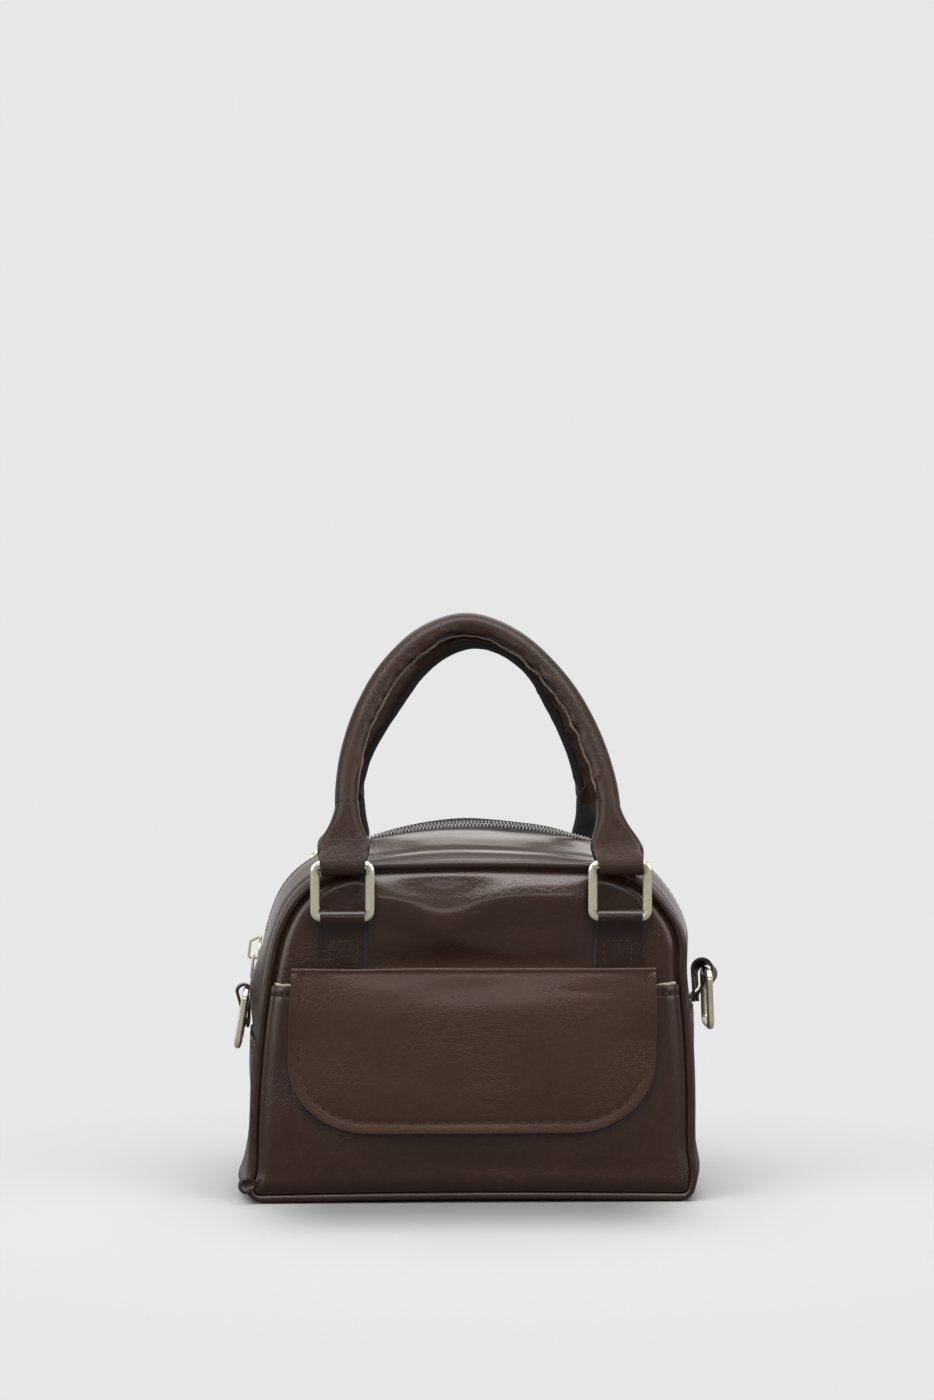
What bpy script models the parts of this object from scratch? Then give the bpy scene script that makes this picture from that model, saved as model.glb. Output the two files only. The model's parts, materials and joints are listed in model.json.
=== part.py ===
"""A small domed crossbody bag with a flap pocket, two ring-hung top handles and a zip along its crown.

Metres, +Z up. The front faces -Y, and the origin is the middle of the base's underside.
The front and rear outlines are tangent arcs in the XZ plane. A second, fuller outline gives the
gusset's shape half way between them, so the gusset swells from the piping to the zip.
"""

import math

import bmesh
import bpy
from mathutils import Matrix, Vector

# Clearances and sheet thicknesses
GAP = 0.0003
LEATHER = 0.0012
STRAP = 0.0014
LINING = 0.0005
TAPE = 0.0005
BOARD = 0.002

# Body
DEPTH = 0.086
PIPING_RADIUS = 0.002
PANEL_SETBACK = 0.001
EDGE_SIZES = {
    "half_width": 0.1045,
    "widest_z": 0.030,
    "top_z": 0.161,
    "side_radius": 0.549,
    "corner_radius": 0.046,
    "top_radius": 1.2,
    "foot_radius": 0.006,
}
CROWN_SIZES = {
    "half_width": 0.1075,
    "widest_z": 0.040,
    "top_z": 0.178,
    "side_radius": 0.710,
    "corner_radius": 0.052,
    "top_radius": 0.210,
    "foot_radius": 0.008,
}
SEAM_Z_LEFT = 0.079
SEAM_Z_RIGHT = 0.0905
SEAM_LAP = 0.010
BOARD_MARGIN = 0.004

# Zip
ZIP_SLOT = 0.011
TAPE_WIDTH = 0.0125
COIL_WIDTH = 0.0024
COIL_THICKNESS = 0.0018
SLIDER_REST_Z = 0.1165
SLIDER_LENGTH = 0.0125
SLIDER_WIDTH = 0.0084
SLIDER_PLATE = 0.0012
SLIDER_CLEARANCE = 0.001
SLIDER_FLANGE = 0.0008
BAIL_HEIGHT = 0.0048
BAIL_BAR = 0.0012
BAIL_WIDTH = 0.0016
PULLER_LENGTH = 0.012
PULLER_WIDTH = 0.005
PULLER_THICKNESS = 0.0013
PULLER_EYE = 0.0028

# Front pocket, flap and snap
POCKET_TOP_Z = 0.102
POCKET_ROOM = 0.0046
POCKET_RAMP = 0.040
FLAP_TOP_Z = 0.111
FLAP_BOTTOM_Z = 0.0326
FLAP_HALF_WIDTH = 0.085
FLAP_CORNER_WIDE = 0.038
FLAP_CORNER_TALL = 0.033
FLAP_BEND = 0.0022
FLAP_BEND_HEIGHT = 0.030
FLAP_ROLL_RADIUS = 0.003
FLAP_ROLL_END = math.radians(20)
FLAP_LINING_INSET = 0.0015
FLAP_LEAF_DEPTH = 0.0055
SNAP_RADIUS = 0.007
SNAP_THICKNESS = 0.0009
SNAP_Z = 0.050

# Rings and the straps that hold them
RING_WIDTH = 0.030
RING_HEIGHT = 0.029
RING_WIRE = 0.0044
RING_WIRE_DEPTH = 0.0034
RING_CORNER = 0.0052
RING_PLAY = 0.0004
STRAP_WIDTH = 0.0205
HANDLE_RING_X = 0.065
HANDLE_RING_Z = 0.1345
HANDLE_RING_LEAN = math.radians(4.5)
FRONT_STRAP_END_Z = 0.1045
REAR_STRAP_END_Z = 0.090
SIDE_TAB_WIDTH = 0.018
SIDE_LOOP_Z_LEFT = 0.0955
SIDE_LOOP_Z_RIGHT = 0.104
SIDE_LOOP_RADIUS_LEFT = 0.0034
SIDE_LOOP_RADIUS_RIGHT = 0.0055
SIDE_LOOP_STEP = math.radians(28)
SIDE_RING_HANG = math.radians(10)
SIDE_RING_LEAN_LEFT = math.radians(13)
SIDE_RING_LEAN_RIGHT = math.radians(2)

# Handles
HANDLE_RADIUS = 0.0054
HANDLE_SLIT = math.radians(22)
HANDLE_LEG_X = 0.0615
HANDLE_LEG_HEIGHT = 0.0275
HANDLE_HEIGHT = 0.1187
HANDLE_ARCH_POWER = 1.8
HANDLE_TAB_WIDTH = 0.024
HANDLE_TAB_THICKNESS = 0.0038
HANDLE_LOOP_WIDTH = 0.020
FRONT_HANDLE_LEAN = math.radians(17.5)
REAR_HANDLE_LEAN = math.radians(25.3)

# Facet counts
PIPING_SIDES = 6
RING_SIDES = 8
RING_CORNER_STEPS = 4
HANDLE_STATIONS = 24
HANDLE_SECTION_STEPS = 10
CORE_SIDES = 8
ROUND_SIDES = 16
FLATNESS = 0.000001

LEATHER_BROWN = (0.058, 0.034, 0.024)
PIPING_BROWN = (0.048, 0.028, 0.020)
BLACK = (0.012, 0.011, 0.011)
CREAM = (0.72, 0.66, 0.52)
PALE_GOLD = (0.80, 0.74, 0.58)
ZIP_SILVER = (0.55, 0.53, 0.50)
LINING_BROWN = (0.10, 0.07, 0.05)
BOARD_GREY = (0.20, 0.19, 0.18)


class Outline:
    """A dome outline in the XZ plane, symmetrical about x = 0, made of tangent lines and arcs.

    Its right half is numbered 0 to 6 from the middle of the floor: floor, foot arc, upright,
    side arc, corner arc, top arc. Negative numbers mirror it, and 6 to 12 run on down the left.
    """

    def __init__(self, half_width, widest_z, top_z, side_radius, corner_radius, top_radius, foot_radius,
                 floor_z=0.0):
        self.half_width = half_width
        self.widest_z = widest_z
        self.top_z = top_z
        self.side_radius = side_radius
        self.corner_radius = corner_radius
        self.top_radius = top_radius
        self.foot_radius = foot_radius
        self.floor_z = floor_z
        side = Vector((half_width - side_radius, widest_z))
        top = Vector((0.0, top_z - top_radius))
        side_reach = side_radius - corner_radius
        top_reach = top_radius - corner_radius
        apart = (top - side).length
        along = (side_reach**2 - top_reach**2 + apart**2) / (2 * apart)
        across = math.sqrt(side_reach**2 - along**2)
        towards = (top - side).normalized()
        corner = side + towards * along + Vector((-towards.y, towards.x)) * across
        self.side = side
        self.top = top
        self.corner = corner
        self.side_end = math.atan2(corner.y - side.y, corner.x - side.x)
        self.corner_end = math.atan2(corner.y - top.y, corner.x - top.x)

    def inset(self, distance, lift=0.0):
        return Outline(
            self.half_width - distance,
            self.widest_z,
            self.top_z - distance,
            self.side_radius - distance,
            self.corner_radius - distance,
            self.top_radius - distance,
            self.foot_radius - distance,
            self.floor_z + distance + lift,
        )

    def arc(self, number):
        """Centre, radius, first and last angle of the arc with this number."""
        foot = Vector((self.half_width - self.foot_radius, self.floor_z + self.foot_radius))
        return {
            1: (foot, self.foot_radius, -math.pi / 2, 0.0),
            3: (self.side, self.side_radius, 0.0, self.side_end),
            4: (self.corner, self.corner_radius, self.side_end, self.corner_end),
            5: (self.top, self.top_radius, self.corner_end, math.pi / 2),
        }[number]

    def place(self, t):
        """The point and the outward normal at t, from -6 to 12."""
        if t > 6:
            t -= 12
        mirrored = t < 0
        t = abs(t)
        number = min(int(t), 5)
        share = t - number
        if number == 0:
            point = Vector((share * (self.half_width - self.foot_radius), self.floor_z))
            normal = Vector((0.0, -1.0))
        elif number == 2:
            low = self.floor_z + self.foot_radius
            point = Vector((self.half_width, low + share * (self.widest_z - low)))
            normal = Vector((1.0, 0.0))
        else:
            centre, radius, first, last = self.arc(number)
            angle = first + share * (last - first)
            normal = Vector((math.cos(angle), math.sin(angle)))
            point = centre + normal * radius
        if mirrored:
            point.x = -point.x
            normal.x = -normal.x
        return point, normal

    def number_at(self, z):
        """The number of the right-hand point at height z, above the foot and below the corner."""
        low = self.floor_z + self.foot_radius
        if z < self.widest_z:
            return 2 + (z - low) / (self.widest_z - low)
        return 3 + math.asin((z - self.widest_z) / self.side_radius) / self.side_end

    def half_width_at(self, z):
        """Half the width at height z, up to the corner arc."""
        low = self.floor_z + self.foot_radius
        if z < low:
            return self.half_width - self.foot_radius + math.sqrt(self.foot_radius**2 - (low - z) ** 2)
        if z < self.widest_z:
            return self.half_width
        return self.side.x + math.sqrt(self.side_radius**2 - (z - self.widest_z) ** 2)


EDGE = Outline(**EDGE_SIZES)
CROWN = Outline(**CROWN_SIZES)
PIPING_LINE = EDGE.inset(PIPING_RADIUS, lift=GAP)
PANEL_OUTLINE = EDGE.inset(2 * PIPING_RADIUS + GAP, lift=GAP)

HALF_DEPTH = DEPTH / 2
PIPING_Y = HALF_DEPTH - PIPING_RADIUS
GUSSET_EDGE_Y = PIPING_Y - PIPING_RADIUS - GAP
PANEL_FACE = HALF_DEPTH - PANEL_SETBACK

# Distances inward from the gusset's outer surface
BAND_DEPTH = LEATHER + GAP
TAPE_DEPTH = BAND_DEPTH + LEATHER + GAP
COIL_DEPTH = TAPE_DEPTH - GAP - COIL_THICKNESS
LINING_DEPTH = TAPE_DEPTH + TAPE + GAP

# Fractions of the way from the middle to the gusset's edge where its sheets have a row of points
SLOT_EDGE = ZIP_SLOT / 2 / GUSSET_EDGE_Y
TAPE_EDGE = TAPE_WIDTH / GUSSET_EDGE_Y
GUSSET_SHARES = [SLOT_EDGE, TAPE_EDGE, (TAPE_EDGE + 1) / 2, 1.0]
COIL_SHARES = [GAP / 2 / GUSSET_EDGE_Y, (GAP / 2 + COIL_WIDTH) / GUSSET_EDGE_Y]

# Rings and their bars
BAR_X = (RING_WIDTH - RING_WIRE) / 2
BAR_SPACING = RING_HEIGHT - RING_WIRE
LOOP_BORE = RING_WIRE / 2 + RING_PLAY
TAB_BAR_OUT = PANEL_FACE + GAP + STRAP + LOOP_BORE
RING_TOP_OUT = TAB_BAR_OUT + BAR_SPACING * math.sin(HANDLE_RING_LEAN)
RING_TOP_Z = HANDLE_RING_Z + BAR_SPACING * math.cos(HANDLE_RING_LEAN)

# Distances outward from the front panel's face
POCKET_IN = GAP + LINING + GAP
POCKET_OUT = POCKET_IN + LEATHER
FLAP_IN = POCKET_ROOM + POCKET_OUT + 3 * GAP + 2 * SNAP_THICKNESS
FLAP_OUT = FLAP_IN + LINING + GAP + LEATHER
FLAP_AXIS_OUT = FLAP_OUT - FLAP_ROLL_RADIUS
FLAP_AXIS_Z = FLAP_TOP_Z - FLAP_ROLL_RADIUS
STRAP_FRONT_OUT = GAP + 2 * STRAP + GAP


def material(name, colour, roughness, metallic=0.0):
    made = bpy.data.materials.new(name)
    made.use_nodes = True
    shader = made.node_tree.nodes["Principled BSDF"]
    shader.inputs["Base Color"].default_value = (*colour, 1.0)
    shader.inputs["Roughness"].default_value = roughness
    shader.inputs["Metallic"].default_value = metallic
    return made


def leather(name):
    return material(name, LEATHER_BROWN, 0.36)


def gold(name):
    return material(name, PALE_GOLD, 0.22, 1.0)


def mesh_from(name, points, faces):
    mesh = bpy.data.meshes.new(name)
    mesh.from_pydata([tuple(point) for point in points], [], faces)
    shell = bmesh.new()
    shell.from_mesh(mesh)
    bmesh.ops.recalc_face_normals(shell, faces=shell.faces[:])
    shell.to_mesh(mesh)
    shell.free()
    return mesh


def put(name, mesh, finish, location=(0, 0, 0), rotation=(0, 0, 0), parent=None, smooth=35):
    """An object for this mesh. Its location and rotation are in world space, whatever its parent."""
    if smooth:
        mesh.shade_smooth()
        mesh.set_sharp_from_angle(angle=math.radians(smooth))
    made = bpy.data.objects.new(name, mesh)
    bpy.context.scene.collection.objects.link(made)
    made.location = location
    made.rotation_euler = rotation
    made.data.materials.clear()
    made.data.materials.append(finish)
    if parent is not None:
        bpy.context.view_layer.update()
        made.parent = parent
        made.matrix_parent_inverse = parent.matrix_world.inverted()
    return made


def prism(name, polygon, near, far, to_point):
    """The solid between a polygon's copies at near and far. to_point turns (a, b, depth) into a point."""
    count = len(polygon)
    points = [to_point(a, b, near) for a, b in polygon] + [to_point(a, b, far) for a, b in polygon]
    faces = [list(range(count)), list(range(count, 2 * count))]
    faces += [[i, (i + 1) % count, count + (i + 1) % count, count + i] for i in range(count)]
    return mesh_from(name, points, faces)


def split(corner, points):
    """Two triangles for these four corners, either side of the shorter diagonal."""
    a, b, c, d = corner
    if (points[a] - points[c]).length < (points[b] - points[d]).length:
        return [[a, b, c], [a, c, d]]
    return [[a, b, d], [b, c, d]]


def is_flat(corner, points):
    a, b, c, d = (points[i] for i in corner)
    lean = (b - a).cross(c - a)
    return lean.length < FLATNESS**2 or abs((d - a).dot(lean.normalized())) < FLATNESS


def sheet(name, outer, inner, closed=False, left_out=()):
    """The closed solid between two grids of points, rows by columns. closed joins the last row to the
    first, and left_out names cells (row, column) that are open."""
    rows = len(outer)
    columns = len(outer[0])
    size = rows * columns
    points = [p for row in outer for p in row] + [p for row in inner for p in row]
    row_cells = rows if closed else rows - 1
    cells = {(r, c) for r in range(row_cells) for c in range(columns - 1)} - set(left_out)
    faces = []
    edges = {}
    for r, c in sorted(cells):
        after = (r + 1) % rows
        corner = [r * columns + c, r * columns + c + 1, after * columns + c + 1, after * columns + c]
        behind = [i + size for i in corner]
        cell = [corner] if is_flat(corner, points) and is_flat(behind, points) else split(corner, points)
        faces += cell
        faces += [[i + size for i in reversed(face)] for face in cell]
        for k in range(4):
            pair = (corner[k], corner[(k + 1) % 4])
            if pair[::-1] in edges:
                del edges[pair[::-1]]
            else:
                edges[pair] = True
    faces += [[b, a, a + size, b + size] for a, b in edges]
    used = sorted({i for face in faces for i in face})
    renumber = {old: new for new, old in enumerate(used)}
    return mesh_from(name, [points[i] for i in used], [[renumber[i] for i in face] for face in faces])


def tube(name, rings, closed=False):
    """The solid through rings of points, capped at both ends unless it closes on itself."""
    count = len(rings[0])
    points = [p for ring in rings for p in ring]
    faces = []
    for r in range(len(rings) if closed else len(rings) - 1):
        after = (r + 1) % len(rings)
        for i in range(count):
            j = (i + 1) % count
            faces.append([r * count + i, r * count + j, after * count + j, after * count + i])
    if not closed:
        faces.append(list(range(count)))
        faces.append([(len(rings) - 1) * count + i for i in range(count)])
    return mesh_from(name, points, faces)


def ellipse(wide, tall, sides, power=2.0):
    """Points of a superellipse, as (across, through) pairs."""
    found = []
    for i in range(sides):
        angle = 2 * math.pi * (i + 0.5) / sides
        across = math.cos(angle)
        through = math.sin(angle)
        found.append(
            (
                math.copysign(abs(across) ** (2 / power), across) * wide,
                math.copysign(abs(through) ** (2 / power), through) * tall,
            )
        )
    return found


def strip_polygon(path, thickness):
    """The outline of a strip of this thickness that follows a path of (a, b) points."""
    path = [Vector(point) for point in path]
    left = []
    right = []
    for i, point in enumerate(path):
        before = (point - path[i - 1]).normalized() if i else None
        after = (path[i + 1] - point).normalized() if i + 1 < len(path) else None
        if before is None or after is None:
            along = before or after
            stretch = 1.0
        else:
            along = (before + after).normalized()
            stretch = 1 / max(0.5, along.dot(after))
        side = Vector((-along.y, along.x)) * thickness / 2 * stretch
        left.append(point + side)
        right.append(point - side)
    return left + right[::-1]


def combined(name, base, unions=(), cuts=()):
    """The mesh of base joined to each of unions and then cut by each of cuts."""
    made = bpy.data.objects.new(name, base)
    bpy.context.scene.collection.objects.link(made)
    helpers = []
    for operation, meshes in (("UNION", unions), ("DIFFERENCE", cuts)):
        for mesh in meshes:
            helper = bpy.data.objects.new(name + "_helper", mesh)
            helper.hide_render = True
            helper.display_type = "WIRE"
            bpy.context.scene.collection.objects.link(helper)
            boolean = made.modifiers.new(operation.lower(), "BOOLEAN")
            boolean.operation = operation
            boolean.solver = "EXACT"
            boolean.object = helper
            helpers.append(helper)
    bpy.context.view_layer.update()
    graph = bpy.context.evaluated_depsgraph_get()
    result = bpy.data.meshes.new_from_object(made.evaluated_get(graph))
    result.name = name
    for leftover in [made, *helpers]:
        bpy.data.objects.remove(leftover)
    return result


def box(name, low, high):
    """A plain block between two corners."""
    polygon = [(low[0], low[2]), (high[0], low[2]), (high[0], high[2]), (low[0], high[2])]
    return prism(name, polygon, low[1], high[1], lambda a, b, depth: (a, depth, b))


def rod(name, centre, radius, half_length):
    """A cylinder along X."""
    polygon = [(centre[1] + a, centre[2] + b) for a, b in ellipse(radius, radius, ROUND_SIDES)]
    low = centre[0] - half_length
    return prism(name, polygon, low, low + 2 * half_length, lambda a, b, depth: (depth, a, b))


def outline_polygon(outline, foot_steps=2, side_steps=4, corner_steps=8, top_steps=2):
    """The whole outline as one polygon, anticlockwise seen from the front."""
    numbers = [1.0]
    for start, steps in ((1, foot_steps), (2, 1), (3, side_steps), (4, corner_steps), (5, top_steps)):
        numbers += [start + (i + 1) / steps for i in range(steps)]
    right = [outline.place(t)[0] for t in numbers]
    left = [Vector((-p.x, p.y)) for p in reversed(right[:-1])]
    return right + left


def gusset_point(t, share, depth):
    """A point of the gusset at outline number t. share runs from -1, front edge, to 1, rear edge,
    and depth is measured inward from the outer surface."""
    edge, edge_normal = EDGE.place(t)
    crown, crown_normal = CROWN.place(t)
    swell = 1 - share**2
    flat = edge.lerp(crown, swell) - edge_normal.lerp(crown_normal, swell).normalized() * depth
    return Vector((flat.x, share * GUSSET_EDGE_Y, flat.y))


def gusset_sheet(name, numbers, shares, depth, thickness, closed=False, left_out=()):
    outer = [[gusset_point(t, share, depth) for share in shares] for t in numbers]
    inner = [[gusset_point(t, share, depth + thickness) for share in shares] for t in numbers]
    return sheet(name, outer, inner, closed, left_out)


def mirrored(shares):
    return [-share for share in reversed(shares)] + list(shares)


def between(first, last, marks):
    """The marks that lie between first and last, with both ends."""
    return [first] + [m for m in marks if first + 0.02 < m < last - 0.02] + [last]


SIDE_MARKS = [1.0, 1.34, 1.67, 2.0, 2.5, 3.0, 3.33, 3.67, 4.0]
TOP_MARKS = [4.0, 4.17, 4.33, 4.5, 4.67, 4.83, 5.0, 5.33, 5.67, 6.0]
BASE_MARKS = [-m for m in reversed(SIDE_MARKS)] + [-0.5, 0.0, 0.5] + SIDE_MARKS
ARCH_MARKS = SIDE_MARKS + TOP_MARKS[1:] + [12 - m for m in reversed(TOP_MARKS[:-1])]
ARCH_MARKS += [12 - m for m in reversed(SIDE_MARKS[:-1])]
LOOP_MARKS = [-m for m in reversed(TOP_MARKS[1:])] + BASE_MARKS + TOP_MARKS[1:-1]


def crown_frame(z, side):
    """Point, outward normal and upward tangent of the gusset's middle line at height z. side is -1
    for left and 1 for right."""
    point, normal = CROWN.place(CROWN.number_at(z))
    origin = Vector((side * point.x, 0.0, point.y))
    out = Vector((side * normal.x, 0.0, normal.y))
    up = Vector((-side * normal.y, 0.0, normal.x))
    return origin, out, up


def build_panels():
    polygon = outline_polygon(PANEL_OUTLINE)
    for name, side, lining in (("front_panel", -1, "lining_front"), ("back_panel", 1, "lining_back")):
        outside = prism(name, polygon, side * PANEL_FACE, side * (PANEL_FACE - LEATHER), upright)
        put(name, outside, leather(name))
        face = PANEL_FACE - LEATHER - GAP
        inside = prism(lining, polygon, side * face, side * (face - LINING), upright)
        put(lining, inside, material(lining, LINING_BROWN, 0.8))


def upright(a, b, depth):
    return (a, depth, b)


def build_piping():
    for name, side in (("front_piping", -1), ("rear_piping", 1)):
        rings = []
        for t in LOOP_MARKS:
            centre, normal = PIPING_LINE.place(t)
            rings.append(
                [
                    Vector((centre.x + normal.x * a, side * PIPING_Y + b, centre.y + normal.y * a))
                    for a, b in ellipse(PIPING_RADIUS, PIPING_RADIUS, PIPING_SIDES)
                ]
            )
        put(name, tube(name, rings, closed=True), material(name, PIPING_BROWN, 0.35), smooth=80)


def build_gusset():
    left = CROWN.number_at(SEAM_Z_LEFT)
    right = CROWN.number_at(SEAM_Z_RIGHT)
    numbers = between(-left, right, BASE_MARKS)
    base = gusset_sheet("base_gusset", numbers, mirrored(GUSSET_SHARES), 0.0, LEATHER)
    put("base_gusset", base, leather("base_gusset"))

    lap_left = CROWN.number_at(SEAM_Z_LEFT - SEAM_LAP)
    lap_right = CROWN.number_at(SEAM_Z_RIGHT - SEAM_LAP)
    arch = between(lap_right, 12 - lap_left, ARCH_MARKS)
    coil_right = CROWN.number_at(SEAM_Z_RIGHT + GAP)
    coil_left = CROWN.number_at(SEAM_Z_LEFT + GAP)
    coil_arch = between(coil_right, 12 - coil_left, ARCH_MARKS)
    tape_shares = [COIL_SHARES[0], SLOT_EDGE, TAPE_EDGE]
    for end, side in (("front", -1), ("rear", 1)):
        band = [side * share for share in GUSSET_SHARES]
        put("zip_band_" + end, gusset_sheet("zip_band_" + end, arch, band, BAND_DEPTH, LEATHER),
            leather("zip_band_" + end))
        tape = [side * share for share in tape_shares]
        put("zipper_tape_" + end, gusset_sheet("zipper_tape_" + end, arch, tape, TAPE_DEPTH, TAPE),
            material("zipper_tape_" + end, BLACK, 0.85))
        coil = [side * share for share in COIL_SHARES]
        put("zipper_coil_" + end, gusset_sheet("zipper_coil_" + end, coil_arch, coil, COIL_DEPTH,
            COIL_THICKNESS), material("zipper_coil_" + end, ZIP_SILVER, 0.4))

    shares = mirrored(GUSSET_SHARES)
    middle = len(shares) // 2 - 1
    cells = enumerate(zip(LOOP_MARKS, LOOP_MARKS[1:] + [6.0]))
    slot = [(r, middle) for r, (low, high) in cells if high <= -lap_left or low >= lap_right]
    put("lining_gusset", gusset_sheet("lining_gusset", LOOP_MARKS, shares, LINING_DEPTH, LINING, True, slot),
        material("lining_gusset", LINING_BROWN, 0.8))

    half_x = CROWN.half_width - CROWN.foot_radius - BOARD_MARGIN
    half_y = GUSSET_EDGE_Y - BOARD_MARGIN
    low = LEATHER + GAP
    board = box("base_board", (-half_x, -half_y, low), (half_x, half_y, low + BOARD))
    put("base_board", board, material("base_board", BOARD_GREY, 0.7), smooth=0)


def build_slider():
    origin, out, up = crown_frame(SLIDER_REST_Z, -1)
    low = -COIL_DEPTH + SLIDER_CLEARANCE
    high = low + SLIDER_PLATE
    half = SLIDER_LENGTH / 2
    wide = SLIDER_WIDTH / 2
    turn = Matrix((out, Vector((0, -1, 0)), up)).transposed().to_4x4()

    def block(name, n0, n1, y0, y1, s0, s1):
        return box(name, (n0, y0, s0), (n1, y1, s1))

    plate_shape = [(-wide, -half), (wide, -half), (wide, half * 0.2), (wide * 0.62, half),
                   (-wide * 0.62, half), (-wide, half * 0.2)]
    plate = prism("plate", plate_shape, low, high, lambda a, b, depth: (depth, a, b))
    rim = SLIDER_PLATE / 2
    flanges = [
        block("flange", -TAPE_DEPTH + SLIDER_CLEARANCE, high - rim / 2, y - SLIDER_FLANGE / 2,
              y + SLIDER_FLANGE / 2, -half * 0.96, half * 0.15)
        for y in (wide - SLIDER_FLANGE, SLIDER_FLANGE - wide)
    ]
    top = high + BAIL_HEIGHT
    post = BAIL_BAR
    bail_path = [
        (high - rim, -half * 0.8),
        (top - post, -half * 0.8),
        (top - post / 2, -half * 0.8 + post / 2),
        (top - post / 2, half * 0.45),
        (high - rim, half * 0.9),
    ]
    bail = prism("bail", strip_polygon(bail_path, post), -BAIL_WIDTH / 2, BAIL_WIDTH / 2,
                 lambda a, b, depth: (a, depth, b))
    made = combined("zipper_slider", plate, [*flanges, bail])
    made.transform(turn)
    slider = put("zipper_slider", made, gold("zipper_slider"), location=origin)

    pin_out = (high + top - post) / 2
    pin_up = -half * 0.8 + post / 2 + PULLER_THICKNESS / 2 + GAP
    columns = [-PULLER_WIDTH / 2, -BAIL_WIDTH / 2 - GAP * 2, BAIL_WIDTH / 2 + GAP * 2, PULLER_WIDTH / 2]
    bar = PULLER_THICKNESS / 2
    lengths = [bar, -bar, -bar - PULLER_EYE, bar - PULLER_LENGTH * 0.6, bar - PULLER_LENGTH]
    taper = [1.0, 1.0, 1.0, 0.85, 0.7]
    grids = [
        [[Vector((n, y * k, s)) for y in columns] for s, k in zip(lengths, taper)] for n in (bar, -bar)
    ]
    puller = sheet("zipper_puller", grids[0], grids[1], left_out=[(1, 1)])
    puller.transform(turn)
    pivot = origin + out * pin_out + up * pin_up
    put("zipper_puller", puller, gold("zipper_puller"), location=pivot, parent=slider)


def pocket_rise(share, z):
    """How far the pocket stands off the panel, as a share of its room."""
    ramp = min(1.0, max(0.0, (z - PANEL_OUTLINE.floor_z) / POCKET_RAMP))
    return (1 - abs(share) ** 6) * math.sin(math.pi / 2 * ramp)


def pocket_grid(out):
    low = PANEL_OUTLINE.floor_z
    heights = [low, low + PANEL_OUTLINE.foot_radius, 0.013, 0.021, 0.032, low + POCKET_RAMP, 0.072,
               POCKET_TOP_Z]
    shares = mirrored([0.0, 0.4, 0.7, 0.85, 0.94, 1.0])
    shares.remove(0.0)
    return [
        [
            Vector(
                (
                    share * PANEL_OUTLINE.half_width_at(z),
                    -(PANEL_FACE + out + POCKET_ROOM * pocket_rise(share, z)),
                    z,
                )
            )
            for share in shares
        ]
        for z in heights
    ]


def build_pocket():
    face = sheet("pocket_panel", pocket_grid(POCKET_OUT), pocket_grid(POCKET_IN))
    put("pocket_panel", face, leather("pocket_panel"))
    backing = sheet("pocket_lining", pocket_grid(GAP + LINING), pocket_grid(GAP))
    put("pocket_lining", backing, material("pocket_lining", CREAM, 0.9))


def flap_half_width(z, inset):
    """Half the flap's width at height z, with elliptical lower corners."""
    low = FLAP_BOTTOM_Z + FLAP_CORNER_TALL
    if z >= low:
        return FLAP_HALF_WIDTH - inset
    drop = (low - z) / FLAP_CORNER_TALL
    return FLAP_HALF_WIDTH - inset - FLAP_CORNER_WIDE * (1 - math.sqrt(max(0.0, 1 - drop**2)))


def flap_grid(depth, inset=0.0, roll=True):
    """Points of the flap at this depth below its outer face, from its lower edge to its fold."""
    shares = [-1.0, -0.8, -0.45, 0.0, 0.45, 0.8, 1.0]
    corner_steps = 5
    low = FLAP_BOTTOM_Z + inset
    heights = [low]
    for i in range(1, corner_steps + 1):
        angle = math.pi / 2 * i / corner_steps
        heights.append(FLAP_BOTTOM_Z + FLAP_CORNER_TALL * (1 - math.cos(angle)))
    heights = sorted({h for h in heights if h >= low})
    heights += [FLAP_AXIS_Z - FLAP_BEND_HEIGHT * share for share in (1, 0.67, 0.33)]
    heights.append(FLAP_AXIS_Z if roll else FLAP_AXIS_Z - FLAP_LINING_INSET)
    rows = []
    for z in heights:
        bend = FLAP_BEND * min(1.0, (FLAP_AXIS_Z - z) / FLAP_BEND_HEIGHT)
        width = flap_half_width(z, inset)
        rows.append([
            Vector((s * width, -(PANEL_FACE + FLAP_OUT - depth - bend * (s * width / FLAP_HALF_WIDTH) ** 2), z))
            for s in shares
        ])
    if roll:
        steps = 5
        for i in range(1, steps + 1):
            angle = math.pi - (math.pi - FLAP_ROLL_END) * i / steps
            radius = FLAP_ROLL_RADIUS - depth
            y = -(PANEL_FACE + FLAP_AXIS_OUT) + radius * math.cos(angle)
            z = FLAP_AXIS_Z + radius * math.sin(angle)
            rows.append([Vector((s * FLAP_HALF_WIDTH, y, z)) for s in shares])
    return rows


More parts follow.
